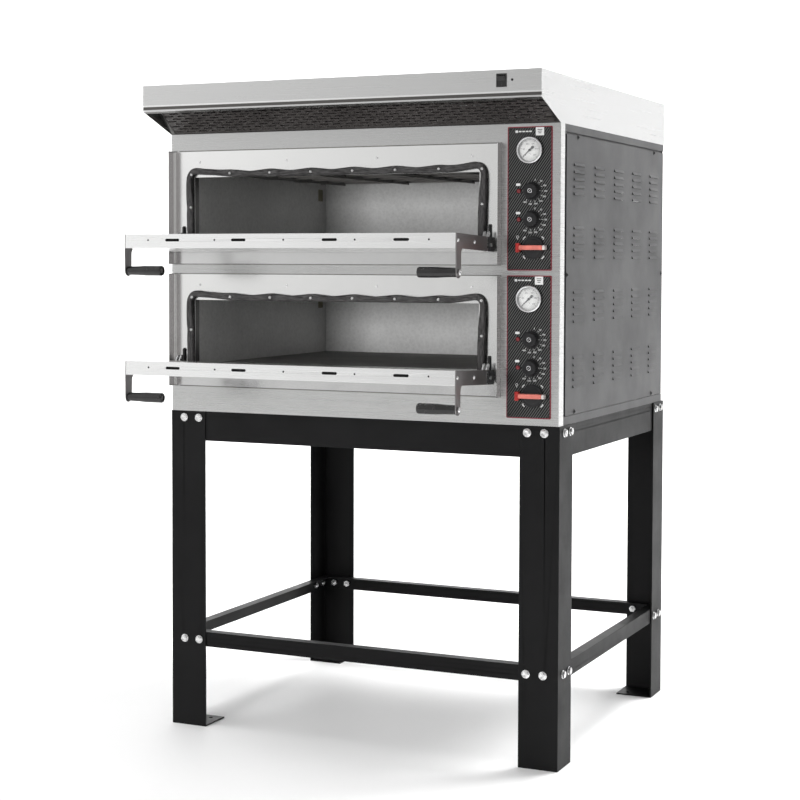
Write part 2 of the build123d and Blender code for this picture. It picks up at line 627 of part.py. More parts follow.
def grip(side):
    """A turned black grip, free to revolve on its spindle, slimmer beside the arm."""
    bore = SPINDLE_DIAMETER / 2 + RUNNING_FIT
    neck = GRIP_NECK_DIAMETER / 2
    belly = GRIP_DIAMETER / 2
    end = GRIP_LENGTH
    outline = [(bore, 0.4), (neck, 0.4), (neck + 1, 2), (belly - 1.2, 32), (belly, 52), (belly, end - 4),
               (belly - 1.2, end - 1.2), (belly - 4, end), (7, end), (7, end - 6.4), (bore, end - 6.4)]
    body = turned(outline)
    half = DOOR_WIDTH / 2
    return Pos(side * half, GRIP_AXIS_Y, GRIP_AXIS_Z) * Rot(0, -90 * side, 0) * body


def door_screws():
    """Pan-head screws along the free edge and on the side straps."""
    half = DOOR_WIDTH / 2
    pieces = [rod_y(x, -DOOR_REACH - 1.8, -DOOR_REACH, SLOT_RISE, 4.5) for x in EDGE_SCREWS]
    for s in (-1, 1):
        x0 = s * (half + ARM_STEEL)
        pieces += [rod_x(x0, x0 + s * 2.2, y, 2, 9) for y in SIDE_SCREWS]
    return pieces


# ---- controls ------------------------------------------------------------------------------
def control_plate(z):
    """The dark control plate on the front sheet, right of the doors."""
    half = PLATE_WIDTH / 2
    plate = block(PLATE_X - half, PLATE_X + half, -PLATE_THICKNESS, 0, z, z + PLATE_HEIGHT)
    plate = fillet(plate.edges().filter_by(Axis.Y), 3)
    return plate - control_holes(-PLATE_THICKNESS - 1, 1, 0.4)


def thermometer(z):
    """The dial thermometer's cup and bezel, and its glass."""
    outer = DIAL_DIAMETER / 2
    cup = turned([(1.05, 0), (outer - 3, 0), (outer, 4), (outer, 7.5), (outer - 2, 11), (outer - 5, 11),
                  (outer - 5, 3), (1.05, 3)])
    stem = turned([(1.05, -12), (8, -12), (8, 0), (1.05, 0)])
    glass = Pos(0, 0, 9.4) * Cylinder(outer - 5.05, 1.6)
    place = Pos(DIAL_X, -PLATE_THICKNESS, z + DIAL_RISE)
    return [place * facing_front(cup + stem), place * facing_front(glass)]


def needle(z):
    """The thermometer's pointer, resting towards the low end of the scale."""
    hub = Pos(0, 0, 6) * Cylinder(4, 2.4)
    pivot = Pos(0, 0, 2) * Cylinder(1, 7)
    pointer = Pos(0, 8, 6) * Box(1.6, 32, 1)
    pointer += Pos(0, -8, 6) * Box(3, 8, 1)
    body = Rot(0, 0, 132) * (hub + pivot + pointer)
    return Pos(DIAL_X, -PLATE_THICKNESS, z + DIAL_RISE) * facing_front(body)


def knob(z):
    """A fluted thermostat knob with a skirt, a metal cap and its shaft."""
    skirt = Pos(0, 0, 2) * Cylinder(22, 2.6)
    body = turned([(0, 3), (19.5, 3), (18, 17), (16, 19), (0, 19)])
    flutes = [Rot(0, 0, 360 / 16 * i) * Pos(20.6, 0, 11) * Cylinder(2.4, 18) for i in range(16)]
    body = body - [flute & Pos(0, 0, 13) * Cylinder(40, 18) for flute in flutes]
    recess = Pos(0, 0, 18.5) * Cylinder(7, 1)
    cap = Pos(0, 0, 18.9) * Cylinder(6.8, 1.8)
    shaft = Pos(0, 0, -7) * Cylinder(KNOB_SHAFT / 2, 20)
    place = Pos(KNOB_X, -PLATE_THICKNESS, z)
    return [place * facing_front(skirt + body + shaft - recess), place * facing_front(cap)]


def main_switch(z):
    """The rotary main switch: a black round base and a raised red bar with a crossed end."""
    base = turned([(0, 0.6), (29, 0.6), (29, 5), (26, 8), (0, 8)])
    bar = Pos(1.5, 0, 16.25) * Box(72, 11.5, 16.5)
    bar += Pos(-34.5, 0, 19) * Box(9, 22, 11)
    shaft = Pos(0, 0, -8) * Cylinder(SWITCH_SHAFT / 2, 24)
    place = Pos(SWITCH_X, -PLATE_THICKNESS, z + SWITCH_RISE)
    return [place * facing_front(base + shaft), place * facing_front(bar)]


def indicator_lamps():
    """Two lamps on each control plate and one on the hood's fascia."""
    lens = turned([(0, -4), (4.3, -4), (4.3, 0), (6.5, 0), (6.5, 2.5), (5, 4.6), (0, 5.4)])
    lamps = [Pos(LAMP_X, -PLATE_THICKNESS, z + rise) * facing_front(lens)
             for z in PLATES.values() for rise in KNOB_RISES.values()]
    small = turned([(0, 0), (3.2, 0), (3.2, 1), (2.2, 2), (0, 2.2)])
    lamps.append(Pos(ROCKER_X + 27, HOOD_FRONT_Y, TOP_Z + ROCKER_RISE) * facing_front(small))
    return lamps


def control_bodies():
    """Thermostats and main-switch bodies behind the front sheet, bored for their shafts."""
    bodies = []
    for z in PLATES.values():
        for rise in KNOB_RISES.values():
            case = block(KNOB_X - 22, KNOB_X + 22, COVER, COVER + 36, z + rise - 22, z + rise + 22)
            bodies.append(case - rod_y(KNOB_X, 0, 22, z + rise, KNOB_SHAFT + 2 * RUNNING_FIT))
        case = block(SWITCH_X - 26, SWITCH_X + 26, COVER, COVER + 55, z + SWITCH_RISE - 26,
                     z + SWITCH_RISE + 26)
        bodies.append(case - rod_y(SWITCH_X, 0, 22, z + SWITCH_RISE, SWITCH_SHAFT + 2 * RUNNING_FIT))
    return bodies


def pan_head(centre, out):
    """A small pan-head screw's visible head on a flat face."""
    return Plane(origin=centre, z_dir=out) * extrude(Circle(4), amount=2)


def cabinet_screws():
    """Screws of the side covers, the control plates, the gaskets and the mouth frames."""
    screws = []
    for s in (-1, 1):
        for y, z in ((131, 1577), (804, 1577), (115, 889), (796, 889), (52, 1233), (886, 1233)):
            screws.append(pan_head((s * HALF, y, z), (s, 0, 0)))
    for z in PLATES.values():
        for dx in (-1, 1):
            for rise in (6, PLATE_HEIGHT / 2, PLATE_HEIGHT - 6):
                x = PLATE_X + dx * (PLATE_WIDTH / 2 - 6)
                screws.append(pan_head((x, -PLATE_THICKNESS, z + rise), (0, -1, 0)))
    for z in DECKS.values():
        screws += gasket_screws(z)
        screws += [rod_y(DECK_X + 263 * (i - 1.5), PANEL_SETBACK - 1.2, PANEL_SETBACK, z + 274, 6)
                   for i in range(4)]
    return screws


# ---- hood ----------------------------------------------------------------------------------
def hood_outline(inset):
    """The hood's section: upright front lip, flat top, upright back and sloping underside."""
    low = TOP_Z + inset
    slope = HOOD_LIP_RISE / HOOD_FRONT_Y
    front = HOOD_FRONT_Y + inset
    return [(front, TOP_Z + slope * front + inset * 1.1), (front, TOP_Z + HOOD_HEIGHT - inset),
            (HOOD_BACK_Y - inset, TOP_Z + HOOD_HEIGHT - inset), (HOOD_BACK_Y - inset, low),
            (-inset * 0.5, low)]


def filter_plane():
    """A frame on the filter's underside: X to the left, Y up the slope, Z into the hood."""
    return Plane(origin=(0, 2, TOP_Z), x_dir=(-1, 0, 0), z_dir=(0, FILTER_SLOPE, 1))


def hood_shell():
    """The folded hood, hollow inside, open below for the filter, with a duct collar on top.

    A groove runs along the fascia above its hem, and a ledge at each end carries the filter.
    """
    outer = prism_x(hood_outline(0), -HALF, HALF)
    inner = prism_x(hood_outline(SHEET), -HALF + SHEET, HALF - SHEET)
    window = block(-HALF + SHEET, HALF - SHEET, HOOD_FRONT_Y + HOOD_LIP_RETURN, 12, TOP_Z - 5, TOP_Z + 60)
    groove = block(-HALF - 1, HALF + 1, HOOD_FRONT_Y - 1, HOOD_FRONT_Y + 0.9, TOP_Z + 55, TOP_Z + 62.6)
    top = TOP_Z + HOOD_HEIGHT
    outlet = rod_z(0, DUCT_Y, top - 20, top + 60, DUCT_DIAMETER)
    collar = rod_z(0, DUCT_Y, top - 0.5, top + DUCT_HEIGHT, DUCT_DIAMETER + 2 * SHEET)
    collar += rod_z(0, DUCT_Y, top - 0.5, top + 2, DUCT_DIAMETER + 40)
    housing = block(ROCKER_X - 12, ROCKER_X + 12, HOOD_FRONT_Y - 5, HOOD_FRONT_Y + 5,
                    TOP_Z + ROCKER_RISE - 15, TOP_Z + ROCKER_RISE + 15)
    ledges = [filter_plane() * block(s * FILTER_LEDGE, s * (HALF - 0.5), 3, FILTER_RUN, -SHEET, 0)
              for s in (-1, 1)]
    baffle = block(-HALF + 0.5, HALF - 0.5, HOOD_FRONT_Y + 0.5, -101, TOP_Z + BAFFLE_RISE,
                   TOP_Z + BAFFLE_RISE + SHEET)
    return outer - inner - window - groove + collar - outlet - housing + ledges + baffle


def hood_filter():
    """The grease filter: a framed plate with rows of short slots laid like brickwork."""
    plate = block(-FILTER_HALF, FILTER_HALF, 3, FILTER_RUN, 0, FILTER_THICKNESS)
    plate -= block(-FILTER_HALF + 6, FILTER_HALF - 6, 9, FILTER_RUN - 6, 2.5, FILTER_THICKNESS + 1)
    slots = []
    for row in range(11):
        shift = SLOT_PITCH / 2 * (row % 2)
        for column in range(28):
            x = 526 - column * SLOT_PITCH - shift
            y = 12 + row * 10.3
            slots.append(block(x - 13, x + 13, y - 2.6, y + 2.6, -2, 6))
    return filter_plane() * (plate - slots)


def hood_switch_housing():
    """The rocker switch's black frame and body in the fascia."""
    x0 = ROCKER_X - ROCKER_WIDTH / 2
    x1 = ROCKER_X + ROCKER_WIDTH / 2
    z0 = TOP_Z + ROCKER_RISE - ROCKER_HEIGHT / 2
    z1 = TOP_Z + ROCKER_RISE + ROCKER_HEIGHT / 2
    frame = block(x0, x1, HOOD_FRONT_Y - 2, HOOD_FRONT_Y, z0, z1)
    body = block(x0 + 1.2, x1 - 1.2, HOOD_FRONT_Y, HOOD_FRONT_Y + 22, z0 + 1.2, z1 - 1.2)
    well = block(x0 + 3.5, x1 - 3.5, HOOD_FRONT_Y - 3, HOOD_FRONT_Y + 12, z0 + 4, z1 - 4)
    bore = rod_x(x0 + 2, x1 - 2, HOOD_FRONT_Y + 4, TOP_Z + ROCKER_RISE, 3)
    return frame + body - well - bore


ROCKER_TILT = 9.0


def hood_rocker():
    """The rocker on its cross pin, resting on its lower half."""
    half_length = ROCKER_HEIGHT / 2 - 5
    width = ROCKER_WIDTH - 7.6
    corners = [(-7, half_length), (-5.4, 0), (-7, -half_length), (-1, -half_length), (2.5, -3),
               (2.5, 3), (-1, half_length)]
    body = prism_x(corners, -width / 2, width / 2)
    pin = rod_x(-width / 2 - 1.2, width / 2 + 1.2, 0, 0, 3 - 2 * RUNNING_FIT)
    place = Pos(ROCKER_X, HOOD_FRONT_Y + 4, TOP_Z + ROCKER_RISE) * Rot(ROCKER_TILT, 0, 0)
    return place * (body + pin)


# ---- assembly ------------------------------------------------------------------------------
def build():
    """Every node's name with its solid or list of solids, before the move to the origin."""
    holes = stand_bolt_holes()
    nodes = {}
    for name, side in SIDES.items():
        nodes["stand_leg_front_" + name] = leg(side, False, holes)
        nodes["stand_leg_rear_" + name] = leg(side, True, holes)
    nodes["stand_top_rails_long"] = long_rails(STAND_HEIGHT, TOP_RAIL_HEIGHT, holes)
    nodes["stand_top_rails_short"] = short_rails(STAND_HEIGHT, TOP_RAIL_HEIGHT, holes)
    nodes["stand_lower_rails_long"] = long_rails(LOWER_RAIL_TOP, LOWER_RAIL_HEIGHT, holes)
    nodes["stand_lower_rails_short"] = short_rails(LOWER_RAIL_TOP, LOWER_RAIL_HEIGHT, holes)
    nodes["stand_fasteners"] = stand_fasteners()
    nodes["base_tray"] = base_tray()
    nodes["roof_panel"] = roof_panel()
    nodes["rear_panel"] = rear_panel()
    for name, side in SIDES.items():
        nodes[name + "_side_panel"] = side_panel(side)
    nodes["front_fascia"] = front_fascia()
    nodes["cable_gland"] = cable_gland()
    nodes["cabinet_screws"] = cabinet_screws()
    nodes["baking_stones"] = baking_stones()
    nodes["insulation"] = insulation()
    nodes["hinge_brackets"] = [hinge_bracket(s, z) for z in DECKS.values() for s in (-1, 1)]
    for deck, z in DECKS.items():
        nodes[deck + "_mouth_frame"] = mouth_frame(z)
        nodes[deck + "_chamber"] = chamber(z)
        nodes[deck + "_heaters"] = heaters(z)
        nodes[deck + "_gasket"] = gasket(z, gasket_screws(z))
        nodes[deck + "_door_shell"] = placed_door(deck, door_shell())
        nodes[deck + "_door_lining"] = placed_door(deck, door_lining())
        nodes[deck + "_door_hinges"] = placed_door(deck, door_hinges())
        nodes[deck + "_handle_arms"] = placed_door(deck, handle_arms())
        nodes[deck + "_door_screws"] = placed_door(deck, door_screws())
        for name, side in SIDES.items():
            nodes[deck + "_" + name + "_grip"] = placed_door(deck, grip(side))
    for deck, z in PLATES.items():
        nodes[deck + "_control_plate"] = control_plate(z)
        nodes[deck + "_thermometer"] = thermometer(z)
        nodes[deck + "_thermometer_needle"] = needle(z)
        nodes[deck + "_main_switch"] = main_switch(z)
        for name, rise in KNOB_RISES.items():
            nodes[deck + "_" + name + "_knob"] = knob(z + rise)
    nodes["indicator_lamps"] = indicator_lamps()
    nodes["control_bodies"] = control_bodies()
    nodes["hood_shell"] = hood_shell()
    nodes["hood_filter"] = hood_filter()
    nodes["hood_switch_housing"] = hood_switch_housing()
    nodes["hood_rocker"] = hood_rocker()
    return nodes


def gathered(piece):
    """One shape for a node, whether it is one solid or a group of separate solids."""
    if isinstance(piece, list):
        return Compound([solid for item in piece for solid in item.solids()])
    return Compound(list(piece.solids()))


def main():
    os.makedirs("parts", exist_ok=True)
    shapes = {name: gathered(piece) for name, piece in build().items()}
    whole = Compound(list(shapes.values())).bounding_box()
    centre = whole.center()
    move = Pos(-centre.X, -centre.Y, -whole.min.Z)
    for name, shape in shapes.items():
        export_step(move * shape, "parts/" + name + ".step")
    print("nodes", len(shapes))
    print("move", -centre.X, -centre.Y, -whole.min.Z)
    print("size", whole.size.X, whole.size.Y, whole.size.Z)


main()
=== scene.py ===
import json
import math

import bpy
from mathutils import Matrix, Vector


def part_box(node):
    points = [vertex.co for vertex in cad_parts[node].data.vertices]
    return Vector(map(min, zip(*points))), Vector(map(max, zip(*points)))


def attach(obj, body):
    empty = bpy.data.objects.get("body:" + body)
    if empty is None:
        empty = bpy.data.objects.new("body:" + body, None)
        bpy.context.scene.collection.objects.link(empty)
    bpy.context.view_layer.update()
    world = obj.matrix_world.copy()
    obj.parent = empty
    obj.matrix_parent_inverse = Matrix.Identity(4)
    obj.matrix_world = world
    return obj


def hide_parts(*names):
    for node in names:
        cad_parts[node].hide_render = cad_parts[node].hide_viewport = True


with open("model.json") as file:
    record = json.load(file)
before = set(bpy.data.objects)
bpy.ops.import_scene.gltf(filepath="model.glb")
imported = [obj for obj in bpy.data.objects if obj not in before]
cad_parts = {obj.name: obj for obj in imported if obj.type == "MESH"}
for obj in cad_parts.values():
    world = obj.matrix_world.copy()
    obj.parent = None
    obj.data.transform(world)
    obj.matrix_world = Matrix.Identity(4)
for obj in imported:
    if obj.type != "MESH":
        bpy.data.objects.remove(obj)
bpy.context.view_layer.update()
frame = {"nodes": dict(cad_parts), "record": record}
NODES = frame["nodes"]
FACADE_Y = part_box("front_fascia")[0].y      # the cabinet's front sheet, in metres

# Sizes are in millimetres, unless a comment says otherwise. x runs from the middle of the
# cabinet, y back from its front sheet and z up from the floor.
DECKS = {"upper": 1255.5, "lower": 927.0}   # bottom edge of each door recess
DECK_X = -73.5                              # middle of the doors and their recesses
RECESS_HEIGHT = 305.0
PANEL_Y = 3.0                               # face of the recessed panels
LIP_START = 5.0                             # the mouth's inward lip lies behind this
DOOR_TILT = {"upper": 1.9, "lower": 2.7}    # degrees past level, where the doors rest open
PIVOT_Y, PIVOT_Z = -38.0, 51.5              # the doors' hinge axis, z above the recess's edge
GRIP_AXIS = (-204.0, -74.0)                 # y and z of the grips, from the hinge axis
DOOR_HALF = 459.5                           # half the door's width
REACH = 221.0                               # from the hinge axis to the door's free edge
PLATES = {"upper": 1243.5, "lower": 877.5}  # bottom edge of each control plate
PLATE_X, PLATE_Y = 475.5, -2.0              # middle of the control plates, and their face
PLATE_HALF_X, PLATE_HALF_Z = 58.5, 177.0
DIAL_X, DIAL_RISE = 477.0, 296.0
DIAL_PRINT_Y = -5.15                        # the dial's scale lies on its face
KNOB_X, KNOB_RISES = 482.5, {"top": 196.0, "bottom": 126.0}
LAMP_X = 448.0
SWITCH_X, SWITCH_RISE = 486.5, 56.5
ROOF_Z = 1605.0
HOOD_FRONT = -140.0
COVER_X = 555.0                             # outer face of the side covers
STAND_X, STAND_DEPTH = 557.0, 918.0         # the legs' outer faces
RAIL_HEIGHTS = (842.0, 238.0)               # the stand's two rows of bolts
SCREW_STEP = 120.7                          # between two screws of the rope seal
ROPE_SCREWS = [-66.5 + SCREW_STEP * (i - 3.5) for i in range(8)]
MIRROR_X = -140.8                           # the rope's left leg is at this less the right leg's x


def at(x, y, z):
    """A point in metres from millimetres, with y measured back from the cabinet's front sheet."""
    return Vector((x / 1000, FACADE_Y + y / 1000, z / 1000))


# ---- finishes ----
class Nodes:
    """A node tree built on one set of coordinates."""

    def __init__(self, tree, coordinates):
        self.tree = tree
        self.place = self.add("ShaderNodeTexCoord", {}).outputs[coordinates]

    def add(self, kind, sockets, **settings):
        """A node with its settings made and its sockets linked or set."""
        node = self.tree.nodes.new(kind)
        for key, value in settings.items():
            setattr(node, key, value)
        for socket, source in sockets.items():
            if isinstance(source, (int, float, tuple)):
                node.inputs[socket].default_value = source
            else:
                self.tree.links.new(source, node.inputs[socket])
        return node

    def noise(self, scale, detail=3.0, rough=0.55, distortion=0.0):
        """Noise whose grains per metre are given along x, y and z."""
        scale = scale if isinstance(scale, tuple) else (scale,) * 3
        place = self.add("ShaderNodeMapping", {"Vector": self.place, "Scale": scale}).outputs["Vector"]
        texture = self.add("ShaderNodeTexNoise", {
            "Vector": place, "Scale": 1.0, "Detail": detail, "Roughness": rough, "Distortion": distortion})
        return texture.outputs["Fac"]

    def spread(self, source, low, high, start=0.3, end=0.7):
        """A source's stretch from start to end mapped to low to high."""
        node = self.add("ShaderNodeMapRange", {
            "Value": source, "From Min": start, "From Max": end, "To Min": low, "To Max": high})
        return node.outputs["Result"]

    def math(self, operation, a, b=0.0):
        """A sum, product or comparison of two numbers, or of one."""
        return self.add("ShaderNodeMath", {0: a, 1: b}, operation=operation).outputs[0]

    def pick(self, factor, a, b):
        """The number a where the factor is 0, and b where it is 1."""
        return self.add("ShaderNodeMix", {0: factor, 2: a, 3: b}, data_type="FLOAT").outputs[0]

    def mix(self, factor, a, b):
        """The colour a where the factor is 0, b where it is 1, and a mix between."""
        a, b = ((*c, 1) if isinstance(c, tuple) else c for c in (a, b))
        return self.add("ShaderNodeMix", {0: factor, 6: a, 7: b}, data_type="RGBA").outputs[2]

    def blend(self, a, b, share):
        """Two numbers added up, a with the share and b with the rest."""
        return self.math("ADD", self.math("MULTIPLY", a, share), self.math("MULTIPLY", b, 1 - share))

    def shades(self, tone, color, darker, lighter, start=0.3, end=0.7):
        """A darker to a lighter shade of a colour as the tone goes from start to end."""
        level = self.spread(tone, 0.0, 1.0, start, end)
        return self.mix(level, scaled(color, darker), scaled(color, lighter))

    def axes(self, vector=None):
        """The x, y and z of a vector, or of the point on the piece, in metres."""
        split = self.add("ShaderNodeSeparateXYZ", {"Vector": self.place if vector is None else vector})
        return split.outputs["X"], split.outputs["Y"], split.outputs["Z"]

    def distance(self, source, centre):
        """How many metres a coordinate is from a place given in millimetres."""
        return self.math("ABSOLUTE", self.math("SUBTRACT", source, centre / 1000))

    def near(self, source, centre, reach):
        """1 where a coordinate is within a reach of a place, both in millimetres, 0 elsewhere."""
        return self.math("LESS_THAN", self.distance(source, centre), reach / 1000)


class Finish(Nodes):
    """A node material, built on the piece's own coordinates."""

    def __init__(self, name, color, roughness, metallic=0.0, **sockets):
        self.material = bpy.data.materials.new(name)
        self.material.use_nodes = True
        super().__init__(self.material.node_tree, "Object")
        self.surface = next(n for n in self.tree.nodes if n.type == "BSDF_PRINCIPLED")
        self.put("Base Color", (*color, 1))
        self.put("Roughness", roughness)
        self.put("Metallic", metallic)
        for socket, value in sockets.items():
            self.put(socket.replace("_", " "), value)
        self.normal = None

    def put(self, socket, value):
        """Set a socket of the surface that is the same all over."""
        self.surface.inputs[socket].default_value = value

    def color(self, source):
        self.tree.links.new(source, self.surface.inputs["Base Color"])

    def roughness(self, source):
        self.tree.links.new(source, self.surface.inputs["Roughness"])

    def bump(self, height, depth, strength):
        """Relief of a depth in metres, over any relief there is already."""
        sockets = {"Distance": depth, "Strength": strength, "Height": height}
        if self.normal is not None:
            sockets["Normal"] = self.normal
        self.normal = self.add("ShaderNodeBump", sockets).outputs["Normal"]
        self.tree.links.new(self.normal, self.surface.inputs["Normal"])

    def facing_side(self):
        """1 on faces that look left or right, 0 elsewhere."""
        normal_x, _, _ = self.axes(self.add("ShaderNodeNewGeometry", {}).outputs["True Normal"])
        return self.math("GREATER_THAN", self.math("ABSOLUTE", normal_x), 0.7)

    def brushing(self):
        """Long fine scratches: along x on most faces, along y on those that look sideways."""
        fine, long = 700.0, 2.5
        along_x = self.noise((long, fine, fine), 4.0)
        along_y = self.noise((fine, long, fine), 4.0)
        return self.pick(self.facing_side(), along_x, along_y)


def scaled(color, factor):
    """A colour made brighter or darker, no part over 1."""
    return tuple(min(1.0, c * factor) for c in color)


def brushed_steel(name, color, low, high, contrast):
    """Stainless sheet brushed along its length, with soft smudges and fine scratches."""
    f = Finish(name, color, 0.3, 1.0)
    grain = f.brushing()
    smudge = f.noise(5.5, 4.0, 0.6, 0.4)
    tone = f.blend(grain, smudge, 0.75)
    f.color(f.shades(tone, color, 1 - contrast, 1 + contrast, 0.35, 0.65))
    f.roughness(f.spread(tone, low, high, 0.35, 0.65))
    f.bump(grain, 0.000012, 0.5)
    return f.material


def powder_coat(name, color, roughness, texture=0.00004, grains=700.0, dust=0.25, **sockets):
    """Powder coat: a fine orange-peel surface with faint cloudy wear."""
    f = Finish(name, color, roughness, 0.0, **sockets)
    peel = f.noise(grains, 2.0, 0.5)
    cloud = f.noise(7.0, 4.0, 0.6)
    f.color(f.shades(cloud, color, 1 - dust * 0.5, 1 + dust, 0.35, 0.7))
    f.roughness(f.spread(cloud, roughness - 0.05, roughness + 0.07, 0.35, 0.7))
    f.bump(peel, texture, 0.8)
    return f.material


def mottled_aluminised(name, color):
    """Aluminised sheet: a soft spangle with heat clouds."""
    f = Finish(name, color, 0.5, 0.45)
    cells = f.add("ShaderNodeTexVoronoi", {"Scale": 90.0, "Vector": f.place}, feature="F1")
    spangle = f.noise(160.0, 3.0, 0.6)
    cloud = f.noise(9.0, 5.0, 0.6)
    tone = f.blend(f.blend(spangle, cloud, 0.5), cells.outputs["Distance"], 0.8)
    f.color(f.shades(tone, color, 0.85, 1.12, 0.3, 0.6))
    f.roughness(f.spread(tone, 0.36, 0.6, 0.3, 0.6))
    f.bump(spangle, 0.00005, 0.5)
    return f.material


def plated(name, color, low=0.18, high=0.36):
    """Bright zinc or chrome with fine speckle and handling marks."""
    f = Finish(name, color, 0.25, 1.0)
    speckle = f.noise(450.0, 3.0)
    f.color(f.shades(speckle, color, 0.85, 1.08))
    f.roughness(f.spread(f.noise(120.0, 3.0), low, high))
    f.bump(speckle, 0.00002, 0.4)
    return f.material


def moulded(name, color, roughness, **sockets):
    """Moulded plastic with a very fine grain and faint handling marks."""
    f = Finish(name, color, roughness, 0.0, **sockets)
    grain = f.noise(1400.0, 2.0)
    marks = f.noise(60.0, 4.0, 0.6)
    f.color(f.shades(marks, color, 0.85, 1.2))
    f.roughness(f.spread(marks, roughness - 0.06, roughness + 0.08))
    f.bump(grain, 0.000006, 0.6)
    return f.material


def polished_sheet(name, color, low, high):
    """Stainless sheet with a smoother finish than the brushed one."""
    f = Finish(name, color, low, 1.0)
    grain = f.noise(60.0, 4.0)
    smudge = f.noise(4.0, 4.0, 0.6, 0.5)
    tone = f.blend(grain, smudge, 0.5)
    f.color(f.shades(tone, color, 0.98, 1.02, 0.35, 0.65))
    f.roughness(f.spread(tone, low, high, 0.35, 0.65))
    f.bump(grain, 0.00001, 0.4)
    return f.material


def recess_sheet():
    """The recess's bright sheet, with painted light: painted shade makes its fins duller, a painted
    reflection makes its foot duller, a painted highlight runs along the fins' front edges, and painted
    shadow darkens its joints, and painted shade the lip inside the mouth."""
    color = (0.93, 0.93, 0.92)
    foot_reflection_middle, foot_reflection_half = 24.0, 26.0     # band of painted reflection, above the recess's bottom edge
    # half the width of the painted shadow along the recess's joints
    joint_shadow_half = 2.4
    mouth_half = 440.0
    fin_highlight, fin_highlight_half = -1.0, 1.6     # painted highlight along the fins' front edges
    f = Finish("recess_polished_shaded", color, 0.2, 1.0)
    smudge = f.noise(14.0, 4.0, 0.6, 0.5)
    x, y, z = f.axes()
    depth = f.math("SUBTRACT", y, FACADE_Y)
    panel = f.shades(smudge, color, 0.985, 1.0)
    joint_shadow, foot_reflection = 1.0, 0.0
    for base in DECKS.values():
        foot_reflection = f.math("MAXIMUM", f.near(z, base + foot_reflection_middle, foot_reflection_half), foot_reflection)
        for height in (base, base + RECESS_HEIGHT):
            joint_shadow = f.math("MINIMUM", f.distance(z, height), joint_shadow)
    # painted reflection: a duller band at the foot of each recess, where it mirrors the door's underside
    panel = f.mix(foot_reflection, panel, (0.70, 0.70, 0.695))
    # painted shadow: dark lines along each recess's top and bottom joints
    panel = f.mix(f.math("LESS_THAN", joint_shadow, joint_shadow_half / 1000), panel, (0.30, 0.30, 0.295))
    # painted shade on the fins' side faces, and a painted highlight along their front edges
    fin_painted_light = f.mix(f.spread(depth, 0.0, 1.0, -0.001, 0.001), (0.52, 0.50, 0.50), (0.68, 0.67, 0.67))
    fin_painted_light = f.mix(f.near(depth, fin_highlight, fin_highlight_half), fin_painted_light, (0.97, 0.96, 0.95))
    sheet = f.mix(f.facing_side(), panel, fin_painted_light)
    # painted shade: the lip inside the mouth is coloured dark
    mouth_lip_shade = f.math("MULTIPLY", f.math("GREATER_THAN", depth, LIP_START / 1000),
                      f.near(x, DECK_X, mouth_half))
    f.color(f.mix(mouth_lip_shade, sheet, f.mix(smudge, (0.10, 0.098, 0.095), (0.15, 0.148, 0.145))))
    f.roughness(f.spread(smudge, 0.17, 0.25))
    f.bump(f.noise(60.0, 4.0), 0.00001, 0.4)
    return f.material


def hood_sheet():
    """The hood's brushed sheet, with painted light: its sides a darker painted shade than its front,
    painted shade in the groove above its hem and behind its front lip, and a painted highlight on the fold
    over the groove."""
    color = (0.68, 0.68, 0.675)
    groove, groove_half, groove_depth = ROOF_Z + 58.8, 3.9, 2.5
    fold_highlight, fold_highlight_half = ROOF_Z + 64.8, 2.0
    lip_top, sheet_thickness = ROOF_Z + 62, 1.2
    f = Finish("hood_brushed_shaded", color, 0.3, 1.0)
    grain = f.brushing()
    tone = f.blend(grain, f.noise(5.0, 4.0, 0.6, 0.4), 0.7)
    level = f.spread(tone, 0.0, 1.0, 0.35, 0.65)
    front_tone = f.mix(level, scaled(color, 0.98), scaled(color, 1.02))
    # painted shade: the sides are a darker tone than the front
    side_shade_tone = f.mix(level, (0.56, 0.56, 0.56), (0.59, 0.59, 0.59))
    sheet = f.mix(f.facing_side(), front_tone, side_shade_tone)
    _, y, z = f.axes()
    # painted highlight along the fold, on the front face only
    front_face = f.math("LESS_THAN", y, FACADE_Y + (HOOD_FRONT + sheet_thickness) / 1000)
    on_fold_highlight = f.math("MULTIPLY", f.near(z, fold_highlight, fold_highlight_half), front_face)
    sheet = f.mix(on_fold_highlight, sheet, (0.92, 0.92, 0.91))
    # painted shade: the underside behind the front lip is coloured dark
    behind_front = f.math("SUBTRACT", 1.0, front_face)
    under_lip_shade = f.math("MULTIPLY", f.math("LESS_THAN", z, lip_top / 1000), behind_front)
    under_lip_shade = f.math("MULTIPLY", under_lip_shade, f.math("SUBTRACT", 1.0, f.facing_side()))
    sheet = f.mix(under_lip_shade, sheet, (0.10, 0.098, 0.095))
    # painted shade in the groove above the hem
    in_groove_shade = f.math("MULTIPLY", f.near(z, groove, groove_half),
                       f.math("LESS_THAN", y, FACADE_Y + (HOOD_FRONT + groove_depth) / 1000))
    f.color(f.mix(in_groove_shade, sheet, (0.13, 0.125, 0.12)))
    f.roughness(f.spread(tone, 0.26, 0.33, 0.35, 0.65))
    f.bump(grain, 0.000012, 0.5)
    return f.material


